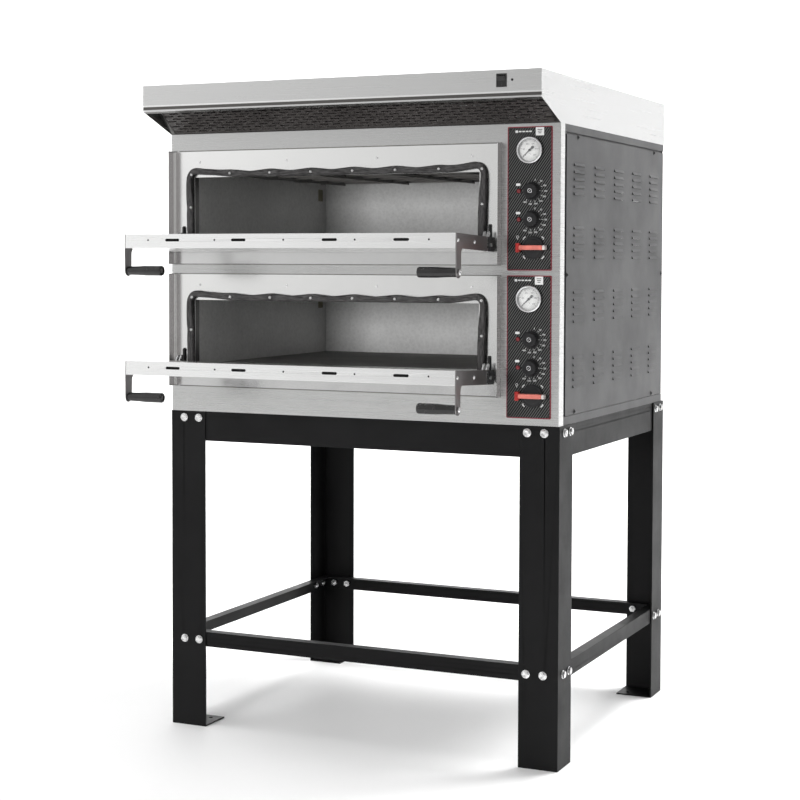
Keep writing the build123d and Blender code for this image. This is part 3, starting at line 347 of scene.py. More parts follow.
def film(deck, bottom):
    """The control plate's black film: grey diagonal stripes and a thin dark-red border."""
    stripe_x, stripe_z = 6.6, 9.4           # from one stripe to the next, along x and along z
    border_width = 2.2
    f = Finish(deck + "_film_stripes", (0.03, 0.03, 0.033), 0.42, 0.0, Specular_IOR_Level=0.08)
    x, _, z = f.axes()
    across = f.math("SUBTRACT", f.math("MULTIPLY", x, 1000 / stripe_x),
                    f.math("MULTIPLY", z, 1000 / stripe_z))
    wave = f.math("ABSOLUTE", f.math("SUBTRACT", f.math("FRACT", across), 0.5))
    wear = f.noise(90.0, 4.0, 0.6)
    black = f.mix(wear, (0.003, 0.003, 0.0033), (0.005, 0.005, 0.0055))
    grey = f.mix(wear, (0.062, 0.063, 0.062), (0.080, 0.081, 0.079))
    striped = f.mix(f.spread(wave, 0.0, 1.0, 0.27, 0.36), black, grey)
    inner_x, inner_z = (PLATE_HALF_X - border_width) / 1000, (PLATE_HALF_Z - border_width) / 1000
    border = f.math("MAXIMUM", f.math("GREATER_THAN", f.distance(x, PLATE_X), inner_x),
                    f.math("GREATER_THAN", f.distance(z, bottom + PLATE_HALF_Z), inner_z))
    f.color(f.mix(border, striped, (0.14, 0.022, 0.03)))
    f.roughness(f.spread(wear, 0.28, 0.42))
    f.bump(f.spread(wave, 0.0, 1.0, 0.25, 0.38), 0.00003, 0.5)
    return f.material


def hinge_parts():
    """Bright clevises and pins, but near-black end plates at the door's sides."""
    end_plate, end_plate_half = 460.75, 1.35
    f = Finish("hinge_zinc_and_black", (0.7, 0.7, 0.7), 0.3, 1.0)
    x, _, _ = f.axes()
    plate = f.near(f.distance(x, DECK_X), end_plate, end_plate_half)
    speckle = f.noise(380.0, 3.0)
    zinc = f.mix(speckle, (0.60, 0.60, 0.61), (0.80, 0.80, 0.80))
    black = f.mix(speckle, (0.012, 0.012, 0.013), (0.03, 0.03, 0.03))
    f.color(f.mix(plate, zinc, black))
    f.tree.links.new(f.math("SUBTRACT", 1.0, plate), f.surface.inputs["Metallic"])
    f.roughness(f.spread(speckle, 0.22, 0.4))
    f.bump(speckle, 0.00003, 0.5)
    return f.material


def woven(name, color):
    """Glass-fibre braid: short crossing strands, along x over the mouth and along z at its sides."""
    fine, long = 420.0, 45.0
    side_start = 0.412                      # metres from the middle of the deck
    f = Finish(name, color, 0.8, 0.0, Sheen_Weight=0.05, Sheen_Roughness=0.4, Specular_IOR_Level=0.15)
    x, _, _ = f.axes()
    at_sides = f.math("GREATER_THAN", f.distance(x, DECK_X), side_start)
    strands = f.pick(at_sides, f.noise((long, fine, fine), 4.0, 0.6),
                     f.noise((fine, fine, long), 4.0, 0.6))
    fuzz = f.noise(1100.0, 3.0, 0.6)
    f.color(f.shades(f.blend(strands, fuzz, 0.75), color, 0.4, 1.8, 0.38, 0.62))
    f.bump(strands, 0.0006, 0.6)
    f.bump(fuzz, 0.0003, 0.5)
    return f.material


def clear_glass():
    """The dial's thin glass, nearly clear."""
    f = Finish("dial_glass_clear", (0.95, 0.96, 0.96), 0.04, 0.0, Alpha=0.10)
    smudge = f.noise(70.0, 3.0)
    f.roughness(f.spread(smudge, 0.03, 0.09))
    return f.material


def paper(name, low, high, roughness=0.45):
    """Enamel, ink or paint: nearly even, with a faint fine mottling."""
    f = Finish(name, low, roughness)
    f.color(f.mix(f.spread(f.noise(260.0, 3.0), 0.0, 1.0), low, high))
    f.roughness(f.spread(f.noise(90.0, 3.0), roughness - 0.08, roughness + 0.08))
    return f.material


STEEL = brushed_steel("stainless_brushed", (0.60, 0.60, 0.595), 0.24, 0.34, 0.03)
DOOR_STEEL = brushed_steel("door_brushed", (0.95, 0.95, 0.945), 0.20, 0.30, 0.02)
HOOD_STEEL = hood_sheet()
RECESS_STEEL = recess_sheet()
# painted shade: the straps' steel is darkened for the shade and dark reflections they show
STRAP_STEEL = polished_sheet("strap_polished_shaded", (0.27, 0.26, 0.26), 0.34, 0.44)
LINING_STEEL = polished_sheet("lining_sheet", (0.78, 0.78, 0.77), 0.18, 0.3)
STAND = powder_coat("stand_black_coat", (0.005, 0.005, 0.0052), 0.45, Specular_IOR_Level=0.12)
COVER = powder_coat("cover_grey_coat", (0.038, 0.038, 0.0395), 0.42, 0.00006, 520.0, 0.12,
                    Specular_IOR_Level=0.3)
ZINC = plated("bright_zinc", (0.80, 0.80, 0.80))
CHROME = plated("polished_chrome", (0.86, 0.86, 0.87), 0.06, 0.14)
ALUMINISED = mottled_aluminised("aluminised_sheet", (0.60, 0.60, 0.595))
BLACK = moulded("black_thermoset", (0.008, 0.0078, 0.0078), 0.22)
KNOB = moulded("knob_satin_black", (0.010, 0.010, 0.0105), 0.42, Specular_IOR_Level=0.25)
BLACK_STEEL = powder_coat("hinge_black", (0.010, 0.010, 0.010), 0.4, Specular_IOR_Level=0.4)
HINGES = hinge_parts()
RIVET = powder_coat("rivet_dull", (0.38, 0.38, 0.38), 0.4)
CLAY = powder_coat("fired_clay_tile", (0.20, 0.195, 0.19), 0.8, 0.00025, 320.0, 0.3)
WOOL = powder_coat("mineral_wool", (0.30, 0.28, 0.20), 0.95, 0.0006, 260.0, 0.3)
# a black finish for painted shade behind the doors' cooling slots
SLOT_SHADE = powder_coat("slot_shade_black", (0.006, 0.006, 0.006), 0.95, 0.0004, 500.0, 0.3, Specular_IOR_Level=0.1)
SHEATH = powder_coat("element_sheath", (0.13, 0.125, 0.12), 0.42, 0.00005, 500.0, 0.4)
ROPE = woven("rope_braid", (0.034, 0.033, 0.033))
FILTER = powder_coat("filter_mesh", (0.034, 0.031, 0.030), 0.32, 0.00005, 500.0, 0.3,
                     Specular_IOR_Level=0.2)
LENS = moulded("lamp_lens_red", (0.10, 0.009, 0.012), 0.15, Coat_Weight=0.2)
RED = moulded("switch_red", (0.24, 0.014, 0.012), 0.3)
SALMON = moulded("switch_salmon", (0.40, 0.115, 0.092), 0.32)
PALE = moulded("switch_tip_pale", (0.38, 0.35, 0.34), 0.35)
ENAMEL = paper("dial_enamel", (0.42, 0.42, 0.415), (0.46, 0.46, 0.455), 0.35)
INK = paper("print_black", (0.008, 0.008, 0.009), (0.016, 0.016, 0.017))
PRINT = paper("print_white", (0.42, 0.42, 0.415), (0.50, 0.50, 0.495), 0.4)
GLASS = clear_glass()
SLOT_FINISH = {
    "stand_black": STAND, "cover_grey": COVER, "stainless": STEEL, "zinc": ZINC, "black_plastic": BLACK,
    "fired_clay": CLAY, "wool": WOOL, "black_steel": BLACK_STEEL, "aluminised": ALUMINISED,
    "element_sheath": SHEATH, "rope_seal": ROPE, "control_film": BLACK, "dial_chrome": CHROME,
    "lamp_red": LENS, "filter_steel": FILTER, "switch_red": RED, "needle_black": INK,
}
SPECIAL_FINISH = {"hood_shell": HOOD_STEEL}
for deck in DECKS:
    SPECIAL_FINISH[deck + "_mouth_frame"] = RECESS_STEEL
    SPECIAL_FINISH[deck + "_handle_arms"] = STRAP_STEEL
    SPECIAL_FINISH[deck + "_door_shell"] = DOOR_STEEL
    SPECIAL_FINISH[deck + "_door_lining"] = LINING_STEEL
    SPECIAL_FINISH[deck + "_door_hinges"] = HINGES
EDGES = {"stainless": 0.35, "stand_black": 0.8, "cover_grey": 0.4, "black_steel": 0.5, "fired_clay": 1.2}


def dress(node, material):
    """Put a material on every slot of a CAD node's mesh."""
    mesh_object = NODES[node]
    for place in mesh_object.material_slots:
        place.link = "OBJECT"
        place.material = material


for part in frame["record"]["subparts"]:
    dress(part["node"], SPECIAL_FINISH.get(part["node"], SLOT_FINISH[part["material_slot"]]))

# ---- shaped pieces ----
class Shape:
    """Points and faces gathered from several bodies, each face with a material number."""

    def __init__(self):
        self.points, self.faces, self.finishes, self.smooth = [], [], [], []

    def add(self, body, place, finish=0, smooth=True):
        """Take in a body of points and faces, put where the place function says, and return self."""
        points, faces = body
        first = len(self.points)
        self.points.extend(place(*p) for p in points)
        self.faces.extend([first + i for i in face] for face in faces)
        self.finishes.extend([finish] * len(faces))
        self.smooth.extend([smooth] * len(faces))
        return self


def piece(name, shape, body, slot, nodes, *materials, bevel=0.0):
    """Make a shape into an object that rides on a body and stands for CAD nodes."""
    mesh = bpy.data.meshes.new(name)
    mesh.from_pydata([tuple(p) for p in shape.points], [], shape.faces)
    for material in materials:
        mesh.materials.append(material)
    mesh.polygons.foreach_set("material_index", shape.finishes)
    mesh.polygons.foreach_set("use_smooth", shape.smooth)
    mesh.validate()
    thing = bpy.data.objects.new(name, mesh)
    bpy.context.scene.collection.objects.link(thing)
    if bevel:
        soften(thing, bevel)
    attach(thing, body)
    if nodes:
        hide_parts(*nodes)


def soften(thing, width, weld=False):
    """Round a thing's sharp edges a little."""
    if weld:
        join = thing.modifiers.new("weld", "WELD")
        join.merge_threshold = 0.00001
    edge = thing.modifiers.new("edge", "BEVEL")
    edge.width = width / 1000
    edge.segments = 2
    edge.limit_method = "ANGLE"
    edge.angle_limit = math.radians(35)
    edge.harden_normals = False
    edge.use_clamp_overlap = True


def lathe(profile, around, wave=None):
    """A body turned about w from (radius, height) corners.

    wave(radius, height, angle) may change the radius.
    """
    points, rings = [], []
    for r, h in profile:
        if r < 1e-6:
            rings.append([len(points)] * around)
            points.append((0.0, 0.0, h))
            continue
        ring = []
        for i in range(around):
            angle = 2 * math.pi * i / around
            reach = wave(r, h, angle) if wave else r
            ring.append(len(points))
            points.append((reach * math.cos(angle), reach * math.sin(angle), h))
        rings.append(ring)
    faces = []
    for low, high in zip(rings, rings[1:]):
        for i in range(around):
            j = (i + 1) % around
            face = [low[i], low[j], high[j], high[i]]
            face = [p for k, p in enumerate(face) if p not in face[:k]]
            if len(face) > 2:
                faces.append(face)
    return points, faces


def slab(outline, low, high, chamfer=0.0):
    """A flat body on a (u, v) outline given anticlockwise, its top edge chamfered."""
    n = len(outline)
    layers = [(outline, low), (outline, high - chamfer)]
    if chamfer:
        layers.append((inset(outline, chamfer), high))
    points = [(u, v, h) for ring, h in layers for u, v in ring]
    faces = [list(range(n))[::-1], [len(points) - n + i for i in range(n)]]
    for k in range(len(layers) - 1):
        for i in range(n):
            j = (i + 1) % n
            faces.append([k * n + i, k * n + j, (k + 1) * n + j, (k + 1) * n + i])
    return points, faces


def inset(outline, distance):
    """The outline moved inwards by a distance."""
    moved = []
    n = len(outline)
    for i in range(n):
        before, here, after = Vector(outline[i - 1]), Vector(outline[i]), Vector(outline[(i + 1) % n])
        a, b = (here - before).normalized(), (after - here).normalized()
        normal = Vector((-a.y - b.y, a.x + b.x)).normalized()
        lean = max(0.3, normal.dot(Vector((-a.y, a.x))))
        moved.append(tuple(here + normal * distance / lean))
    return moved


def rounded(width, height, radius, steps=5, u=0.0, v=0.0):
    """A rectangle's outline with rounded corners, anticlockwise."""
    outline = []
    for quarter, (su, sv) in enumerate(((1, 1), (-1, 1), (-1, -1), (1, -1))):
        for i in range(steps + 1):
            angle = math.pi / 2 * (quarter + i / steps)
            outline.append((u + su * (width / 2 - radius) + radius * math.cos(angle),
                            v + sv * (height / 2 - radius) + radius * math.sin(angle)))
    return outline


def hexagon(across):
    """A hexagon's outline, from its size across flats."""
    reach = across / math.sqrt(3)
    return [(reach * math.cos(math.pi / 3 * i), reach * math.sin(math.pi / 3 * i)) for i in range(6)]


def domed_head(radius, height):
    """A domed screw head with a cross recess."""
    rings = 9
    around = 48
    recess = height * 0.45      # height of the recess's bottom
    arm = radius * 0.17         # half the width of its arms
    arm_length = 0.544          # as a share of the radius
    points = [(0.0, 0.0, recess)]
    for k in range(1, rings + 1):
        share = k / rings
        for i in range(around):
            angle = 2 * math.pi * i / around
            u, v = radius * share * math.cos(angle), radius * share * math.sin(angle)
            w = height * math.sqrt(max(0.0, 1 - share ** 2.4))
            if share < arm_length and (abs(u) < arm or abs(v) < arm):
                w = recess
            points.append((u, v, w))
    first = [1 + i for i in range(around)]
    faces = [[0, first[i], first[(i + 1) % around]] for i in range(around)]
    for k in range(rings - 1):
        for i in range(around):
            j = (i + 1) % around
            a, b = 1 + k * around, 1 + (k + 1) * around
            faces.append([a + i, b + i, b + j, a + j])
    return points, faces


def lettering(text, height):
    """Flat filled lettering centred on the origin, as points and faces."""
    font_size = 1.4             # for a figure of height 1
    half_thickness = 0.06
    curve = bpy.data.curves.new("lettering", "FONT")
    curve.body = text
    curve.size = height * font_size
    curve.align_x = "CENTER"
    curve.resolution_u = 2
    curve.extrude = half_thickness
    holder = bpy.data.objects.new("lettering", curve)
    mesh = bpy.data.meshes.new_from_object(holder)
    points = [(v.co.x, v.co.y - height / 2, v.co.z + half_thickness) for v in mesh.vertices]
    faces = [list(p.vertices) for p in mesh.polygons]
    bpy.data.objects.remove(holder)
    bpy.data.curves.remove(curve)
    bpy.data.meshes.remove(mesh)
    return points, faces


# ---- places: each returns a function from (u, v, w) in millimetres to a point in metres ----
def facing(x, y, z, out, turn=0.0, finish=at):
    """w points out of an upright surface, v up and u to the right of someone who looks at it."""
    w = Vector(out)
    v = Vector((0, 0, 1))
    u = v.cross(w)
    c, s = math.cos(turn), math.sin(turn)
    start = Vector((x, y, z))

    def place(a, b, h):
        p = start + u * (a * c - b * s) + v * (a * s + b * c) + w * h
        return finish(p.x, p.y, p.z)
    return place


def front(x, z, y=0.0, turn=0.0):
    """A place on a surface that looks forward."""
    return facing(x, y, z, (0, -1, 0), turn)


def raised(place, height):
    """The same place, but further out of its surface."""
    return lambda a, b, h: place(a, b, h + height)


def on_door(deck, x, y, z, out, turn=0.0):
    """A place on a door, from a point measured from the middle of its hinge axis on a level door."""
    tilt = math.radians(-DOOR_TILT[deck])
    c, s = math.cos(tilt), math.sin(tilt)

    def tilted(px, py, pz):
        return at(DECK_X + px, PIVOT_Y + py * c - pz * s, DECKS[deck] + PIVOT_Z + py * s + pz * c)
    return facing(x, y, z, out, turn, tilted)


# ---- seals ----
def rope_path():
    """Corners of the rope's run, from the lower left to the lower right.

    Each is (x, height above the recess's edge, width, thickness). The rope is wide and thin at its
    screws, and narrow and thick between them.
    """
    right = [(318.0, 248.8, 16.5, 15.5), (334.0, 250.2, 17.0, 13.5), (346.0, 246.4, 16.5, 13.0),
             (353.2, 236.0, 15.8, 14.0), (355.0, 222.0, 15.5, 15.5), (354.4, 200.0, 17.2, 16.5),
             (352.6, 172.0, 20.0, 16.5), (351.9, 153.0, 20.8, 13.5), (351.3, 136.0, 20.4, 16.5),
             (350.8, 104.0, 20.0, 17.0), (350.5, 84.0, 19.0, 17.0), (350.5, 66.0, 19.0, 17.0)]
    left = [(MIRROR_X - x, z, w, t) for x, z, w, t in reversed(right)]
    first, last = ROPE_SCREWS[1], ROPE_SCREWS[6]
    top = [(first - 60.3, 247.0, 15.6, 16.5), (first - 30, 244.6, 16.6, 16.0)]
    for x in ROPE_SCREWS[1:6]:
        top += [(x, 243.4, 19.5, 13.0), (x + 30, 241.8, 17.5, 16.0), (x + 60.3, 240.6, 15.0, 16.5),
                (x + 91, 241.8, 17.5, 16.0)]
    top += [(last, 243.4, 19.5, 13.0), (last + 28, 242.6, 18.0, 16.0), (last + 56, 245.0, 16.2, 16.5)]
    return left + top + right


def smooth_run(corners, step):
    """Points about one step apart on a smooth (Catmull-Rom) curve through the corners."""
    run = []
    padded = [corners[0]] + corners + [corners[-1]]
    for i in range(len(corners) - 1):
        a, b, c, d = (Vector(p) for p in padded[i:i + 4])
        parts = max(1, round(math.hypot(c[0] - b[0], c[1] - b[1]) / step))
        for k in range(parts):
            t = k / parts
            run.append(0.5 * (2 * b + (c - a) * t + (2 * a - 5 * b + 4 * c - d) * t * t
                              + (3 * b - a - 3 * c + d) * t ** 3))
    run.append(Vector(corners[-1]))
    return run


def rope(deck, z):
    """The braided seal: a flattened double rope that bulges between its screws."""
    run = smooth_run(rope_path(), 2.0)
    around = 28
    strands, twist = 7, 0.75    # crossing strands round the rope, and their turn in radians a mm
    relief = 0.022              # of the strands, as a share of the rope's size
    seam, seam_width = 0.10, 0.12
    square = 0.75               # 1 for a round rope, less for a squarer one
    points, faces = [], []
    length = 0.0
    for i, here in enumerate(run):
        before, after = run[max(0, i - 1)], run[min(len(run) - 1, i + 1)]
        along = Vector((after[0] - before[0], after[1] - before[1])).normalized()
        across = Vector((-along.y, along.x))
        length += 0 if i == 0 else math.hypot(here[0] - before[0], here[1] - before[1])
        for k in range(around):
            angle = 2 * math.pi * k / around
            lobes = 1 - seam * math.exp(-((abs(math.sin(angle)) - 1) / seam_width) ** 2)
            strand = (math.sin(strands * angle + length * twist)
                      * math.sin(strands * angle - length * twist))
            swell = lobes * (1 + relief * strand)
            side = math.copysign(abs(math.cos(angle)) ** square, math.cos(angle))
            deep = math.copysign(abs(math.sin(angle)) ** square, math.sin(angle))
            offset = side * here[2] / 2 * swell
            depth = PANEL_Y - here[3] / 2 - deep * here[3] / 2 * swell
            points.append((here[0] + across.x * offset, depth, z + here[1] + across.y * offset))
    for i in range(len(run) - 1):
        for k in range(around):
            m = (k + 1) % around
            faces.append([i * around + k, (i + 1) * around + k, (i + 1) * around + m, i * around + m])
    faces.append(list(range(around)))
    faces.append([len(points) - around + k for k in range(around)][::-1])
    shape = Shape().add((points, faces), at)
    piece(deck + "_rope_seal", shape, "root", "rope_seal", [deck + "_gasket"], ROPE)


def seal_screws():
    """Screws through the rope: along its top, at its corners and half-way down its sides."""
    shape = Shape()
    for z in DECKS.values():
        places = [(x, z + 242.5) for x in ROPE_SCREWS[1:7]]
        places += [(352.0, z + 241.0), (-486.4, z + 240.8), (-488.6, z + 153), (353.2, z + 153)]
        for x, height in places:
            spot = front(x, height, PANEL_Y - 13.2, turn=x * 0.7)
            shape.add(domed_head(4.0, 2.6), spot)
            shape.add(lathe([(4.0, 0.0), (4.0, -1.0), (2.0, -1.0), (2.0, -12.0)], 24), spot)
    piece("seal_screws", shape, "root", "zinc", ["cabinet_screws"], ZINC)


def cover_screws():
    """Black screws of the side covers and the control plates, and small rivets on the recess panels."""
    shape = Shape()
    for side in (-1, 1):
        for y, z in ((131, 1577), (804, 1577), (115, 889), (796, 889), (52, 1233), (886, 1233)):
            spot = facing(side * COVER_X, y, z, (side, 0, 0), turn=y)
            shape.add(lathe([(6.5, 0.0), (6.5, 0.7), (6.1, 1.0), (3.9, 1.0)], 32), spot)
            shape.add(domed_head(4.3, 2.4), raised(spot, 1.0))
    for z in PLATES.values():
        for dx in (-52.5, 52.5):
            for rise in (6, PLATE_HALF_Z, 348):
                shape.add(domed_head(3.6, 2.0), front(PLATE_X + dx, z + rise, PLATE_Y, turn=dx + rise))
    piece("cover_screws", shape, "root", "zinc", ["cabinet_screws"], BLACK_STEEL)
    rivets = Shape()
    head = [(3.3, 0.0), (3.2, 0.5), (2.4, 1.1), (1.2, 1.3), (1.0, 0.9), (0, 0.9)]
    for z in DECKS.values():
        for i in range(4):
            rivets.add(lathe(head, 28), front(DECK_X + 263 * (i - 1.5), z + 274, PANEL_Y))
    piece("recess_rivets", rivets, "root", "zinc", ["cabinet_screws"], RIVET)


# ---- stand bolts ----
def stand_bolts():
    """Hexagon bolts with washers outside, and threaded ends with nuts inside."""
    shape = Shape()
    for z in RAIL_HEIGHTS:
        for side in (-1, 1):
            for y, out in ((0.0, -1), (STAND_DEPTH, 1)):
                spots = [(side * (STAND_X - edge), y, (0, out, 0)) for edge in (40.0, 85.0)]
                spots += [(side * STAND_X, y - out * edge, (side, 0, 0)) for edge in (36.0, 81.0)]
                for x, depth, direction in spots:
                    bolt(shape, facing(x, depth, z, direction, turn=x * 0.31 + depth * 0.17 + z))
    piece("stand_bolts", shape, "root", "zinc", ["stand_fasteners"], ZINC)


def bolt(shape, spot):
    """A bolt's washer, head and end dome outside, and its threaded end and nut inside."""
    across_flats = 16.6
    thread = [(4.65 if i % 2 else 5.0, -7.0 - i * 0.75) for i in range(16)]
    washer = [(5.2, 0.0), (10.4, 0.0), (10.9, 0.4), (10.9, 1.2), (10.4, 1.6), (5.2, 1.6)]
    shape.add(lathe(washer, 40), spot)
    shape.add(slab(hexagon(across_flats), 1.6, 6.6, 0.9), spot, smooth=False)
    shape.add(lathe([(7.3, 6.3), (6.9, 7.0), (5.6, 7.3), (5.2, 7.0), (0, 7.0)], 36), spot)
    shape.add(lathe(thread + [(4.2, -18.6), (0, -18.6)], 24), spot)
    shape.add(slab(hexagon(across_flats), -14.6, -7.0, 0.8), spot, smooth=False)


# ---- controls ----
def control_plate(deck, z):
    """The plate that carries the film, with softened corners."""
    outline = rounded(2 * PLATE_HALF_X, 2 * PLATE_HALF_Z, 3.0, u=PLATE_X, v=z + PLATE_HALF_Z)
    shape = Shape().add(slab(outline, 0.0, 2.0, 0.35), front(0, 0), smooth=False)
    piece(deck + "_control_plate_film", shape, "root", "control_film", [deck + "_control_plate"],
          film(deck, z))


def printed_marks(deck, z):
    """White scale figures round the knobs, lamp labels, switch marks and a plain square."""
    shape = Shape()

    def mark(body, x, height, turn=0.0):
        shape.add(body, front(x, height, PLATE_Y, turn), smooth=False)

    def bar(x, height, width, tall, turn=0.0):
        mark(slab(rounded(width, tall, min(width, tall) * 0.3, 2), 0.0, 0.1), x, height, turn)

    for i in range(5):
        bar(PLATE_X - 34.5 + i * 9.0, z + 342, 7.0, 3.2 if i else 6.0)
    mark(slab(rounded(21.5, 20.0, 0.8, 3), 0.0, 0.1), PLATE_X + 26, z + 341.5)
    for rise in KNOB_RISES.values():
        for i in range(8):
            angle = math.radians(48 - i * 24.5)
            c, s = math.cos(angle), math.sin(angle)
            mark(lettering(str(50 + 50 * i), 4.3), KNOB_X + 34.5 * c, z + rise + 32.5 * s)
            bar(KNOB_X + 26.3 * c, z + rise + 26.3 * s, 3.4, 0.8, angle)
        zero = math.radians(75)
        bar(KNOB_X + 28 * math.cos(zero), z + rise + 28 * math.sin(zero), 5.0, 1.1, zero)
        bar(LAMP_X - 2.5, z + rise + 15.8, 11.5, 6.0)
    for dx, dz in ((-1, 1), (1, 1), (-1, -1), (1, -1)):
        x, height = SWITCH_X + dx * 24.5, z + SWITCH_RISE + dz * 24.5
        bar(x, height, 8.5, 2.6, math.radians(-40 * dx * dz))
        bar(x + dx * 1.5, height - dz * 2.8, 5.0, 2.4, math.radians(50))
    bar(SWITCH_X + 32.5, z + SWITCH_RISE, 2.4, 4.5)
    ring = lathe([(3.4, 0.0), (3.4, 0.1), (2.4, 0.1), (2.4, 0.0)], 24)
    mark(ring, LAMP_X - 3.5, z + 83)
    bar(LAMP_X - 3.5, z + 78, 1.2, 4.0)
    piece(deck + "_printed_marks", shape, "root", "needle_black", [], PRINT)


def square_mark(deck, z):
    """Dark bars on the plain white square."""
    shape = Shape()
    for i in range(3):
        spot = front(PLATE_X + 26, z + 346.0 - i * 4.2, PLATE_Y - 0.1)
        shape.add(slab(rounded(13 - i * 2.5, 1.9, 0.5, 2), 0.0, 0.08), spot, smooth=False)
    piece(deck + "_square_mark", shape, "root", "needle_black", [], INK)


def dial(deck, z):
    """The thermometer: a rolled chrome bezel, a white face with a printed scale, and its glass."""
    middle = z + DIAL_RISE
    spot = front(DIAL_X, middle, PLATE_Y)
    slot, node = "dial_chrome", [deck + "_thermometer"]
    bezel = [(29.0, 0.0), (31.6, 0.0), (31.2, 1.6), (31.6, 3.2), (32.9, 3.6), (33.5, 4.2), (33.5, 7.5),
             (33.3, 9.4), (32.4, 10.7), (31.0, 11.2), (29.4, 11.0), (28.7, 10.2), (28.9, 9.4), (30.2, 8.6),
             (30.2, 3.0)]
    face = [(30.3, 2.4), (30.3, 3.0), (4.0, 3.2), (0, 3.2)]
    glass = [(28.8, 8.8), (28.8, 9.6), (20.0, 9.9), (10.0, 10.1), (0, 10.2)]
    piece(deck + "_dial_bezel", Shape().add(lathe(bezel, 72), spot), "root", slot, node, CHROME)
    piece(deck + "_dial_face", Shape().add(lathe(face, 72), spot), "root", slot, node, ENAMEL)
    piece(deck + "_dial_scale", dial_scale(middle), "root", slot, node, INK)
    piece(deck + "_dial_glass", Shape().add(lathe(glass, 64), spot), "root", slot, node, GLASS)
    pointer(deck, middle)


def dial_scale(middle):
    """Ticks from 0 to 500, figures, the unit and a thin ring, printed on the dial's face."""
    first, sweep, ticks = 225.0, 270.0, 50      # degrees, anticlockwise from the right
    shape = Shape()

    def on_face(reach, angle, turn=0.0):
        return front(DIAL_X + reach * math.cos(angle), middle + reach * math.sin(angle), DIAL_PRINT_Y, turn)

    for i in range(ticks + 1):
        angle = math.radians(first - i * sweep / ticks)
        length, width = ((4.6, 0.9) if i % 10 == 0 else (3.4, 0.6) if i % 5 == 0 else (2.2, 0.35))
        tick = [(-length / 2, -width / 2), (length / 2, -width / 2), (length / 2, width / 2),
                (-length / 2, width / 2)]
        shape.add(slab(tick, 0.0, 0.12), on_face(26.5 - length / 2, angle, angle), smooth=False)
    for i in range(6):
        figure = on_face(17.0, math.radians(first - i * sweep / 5))
        shape.add(lettering(str(100 * i), 3.6), figure, smooth=False)
    shape.add(lettering("°C", 3.6), front(DIAL_X, middle - 9.5, DIAL_PRINT_Y), smooth=False)
    ring = lathe([(27.4, 0.0), (27.4, 0.1), (27.1, 0.1), (27.1, 0.0)], 72)
    shape.add(ring, front(DIAL_X, middle, DIAL_PRINT_Y))
    return shape


def pointer(deck, middle):
    """A tapering black pointer with a rounded tail and a turned hub."""
    left = [(-0.5, 25.0), (-1.0, 12.0), (-1.6, 2.0), (-1.8, -4.0), (-3.2, -8.0), (-3.4, -11.0),
            (-2.2, -13.4)]
    outline = left + [(0.0, -14.2)] + [(-u, v) for u, v in reversed(left)]
    hub = [(1.2, 3.0), (1.2, 5.6), (3.3, 5.6), (3.3, 6.9), (2.7, 7.4), (0.8, 7.5), (0, 7.3)]
    body = deck + "_thermometer_needle"
    spot = front(DIAL_X, middle, PLATE_Y, math.radians(132))
    shape = Shape().add(slab(outline, 5.6, 6.4, 0.15), spot, smooth=False)
    shape.add(lathe(hub, 32), spot)
    piece(deck + "_dial_pointer", shape, body, "needle_black", [body], INK)


def fluted(r, h, angle):
    """Shallow finger flutes on the knob's body."""
    flutes, depth = 18, 0.9
    if r < 17 or h < 4.6 or h > 18:
        return r
    return r - depth * max(0.0, math.cos(angle * flutes)) ** 2


def knob(deck, which, z):
    """A fluted knob with a white mark on its skirt and a chrome cap."""
    name = deck + "_" + which + "_knob"
    spot = front(KNOB_X, z, PLATE_Y)
    body = [(3.0, 0.7), (21.8, 0.7), (22.2, 1.1), (22.2, 2.7), (21.6, 3.3), (20.2, 3.6), (19.8, 4.2),
            (19.6, 4.8), (19.2, 9.0), (18.6, 14.0), (18.2, 17.0), (17.6, 18.4), (16.4, 19.0), (10.5, 18.7),
            (8.2, 18.5), (7.9, 17.9), (0, 17.9)]
    shape = Shape().add(lathe(body, 108, fluted), spot)
    shape.add(slab(rounded(3.6, 1.3, 0.4, 2), 0.0, 0.45), front(KNOB_X + 20.4, z, -5.2), 1, smooth=False)
    piece(name + "_body", shape, name, "black_plastic", [name], KNOB, PRINT)
    ring = [(5.9, 17.9), (5.9, 19.0), (5.5, 19.4), (4.7, 19.4), (4.3, 19.0), (4.3, 17.9)]
    cap = Shape().add(lathe(ring, 40), spot)
    slash = front(KNOB_X, z, PLATE_Y, math.radians(40))
    cap.add(slab(rounded(8.4, 1.3, 0.3, 2), 18.0, 19.0), slash, smooth=False)
    piece(name + "_cap", cap, name, "dial_chrome", [name], CHROME)


def main_switch(deck, z):
    """A black round base with a red bar, its left end crossed and its right end tipped white."""
    body = deck + "_main_switch"
    spot = front(SWITCH_X, z + SWITCH_RISE, PLATE_Y)
    disc = [(3, 0.6), (27.6, 0.6), (28.2, 1.2), (28.2, 4.2), (27.4, 5.4), (25.0, 6.2), (24.0, 6.0),
            (20.5, 6.6), (19.8, 7.6), (19.0, 8.0), (0, 8.0)]
    piece(body + "_base", Shape().add(lathe(disc, 72), spot), body, "black_plastic", [body], KNOB)
    bar = Shape().add(slab(rounded(62.0, 11.5, 3.0, 4, u=-0.5), 7.8, 24.2, 1.6), spot, smooth=False)
    piece(body + "_bar", bar, body, "switch_red", [body], SALMON, bevel=0.4)
    cross = Shape().add(slab(rounded(10.0, 23.0, 2.4, 4, u=-34.0), 12.5, 25.0, 1.8), spot, smooth=False)
    cross.add(slab(rounded(5.0, 13.0, 1.0, 3, u=-29.0), 9.0, 23.0, 1.0), spot, smooth=False)
    piece(body + "_cross", cross, body, "switch_red", [body], RED, bevel=0.4)
    tip = Shape().add(slab(rounded(7.0, 11.5, 2.6, 4, u=34.0), 7.8, 24.2, 1.6), spot, smooth=False)
    piece(body + "_tip", tip, body, "switch_red", [body], PALE, bevel=0.4)


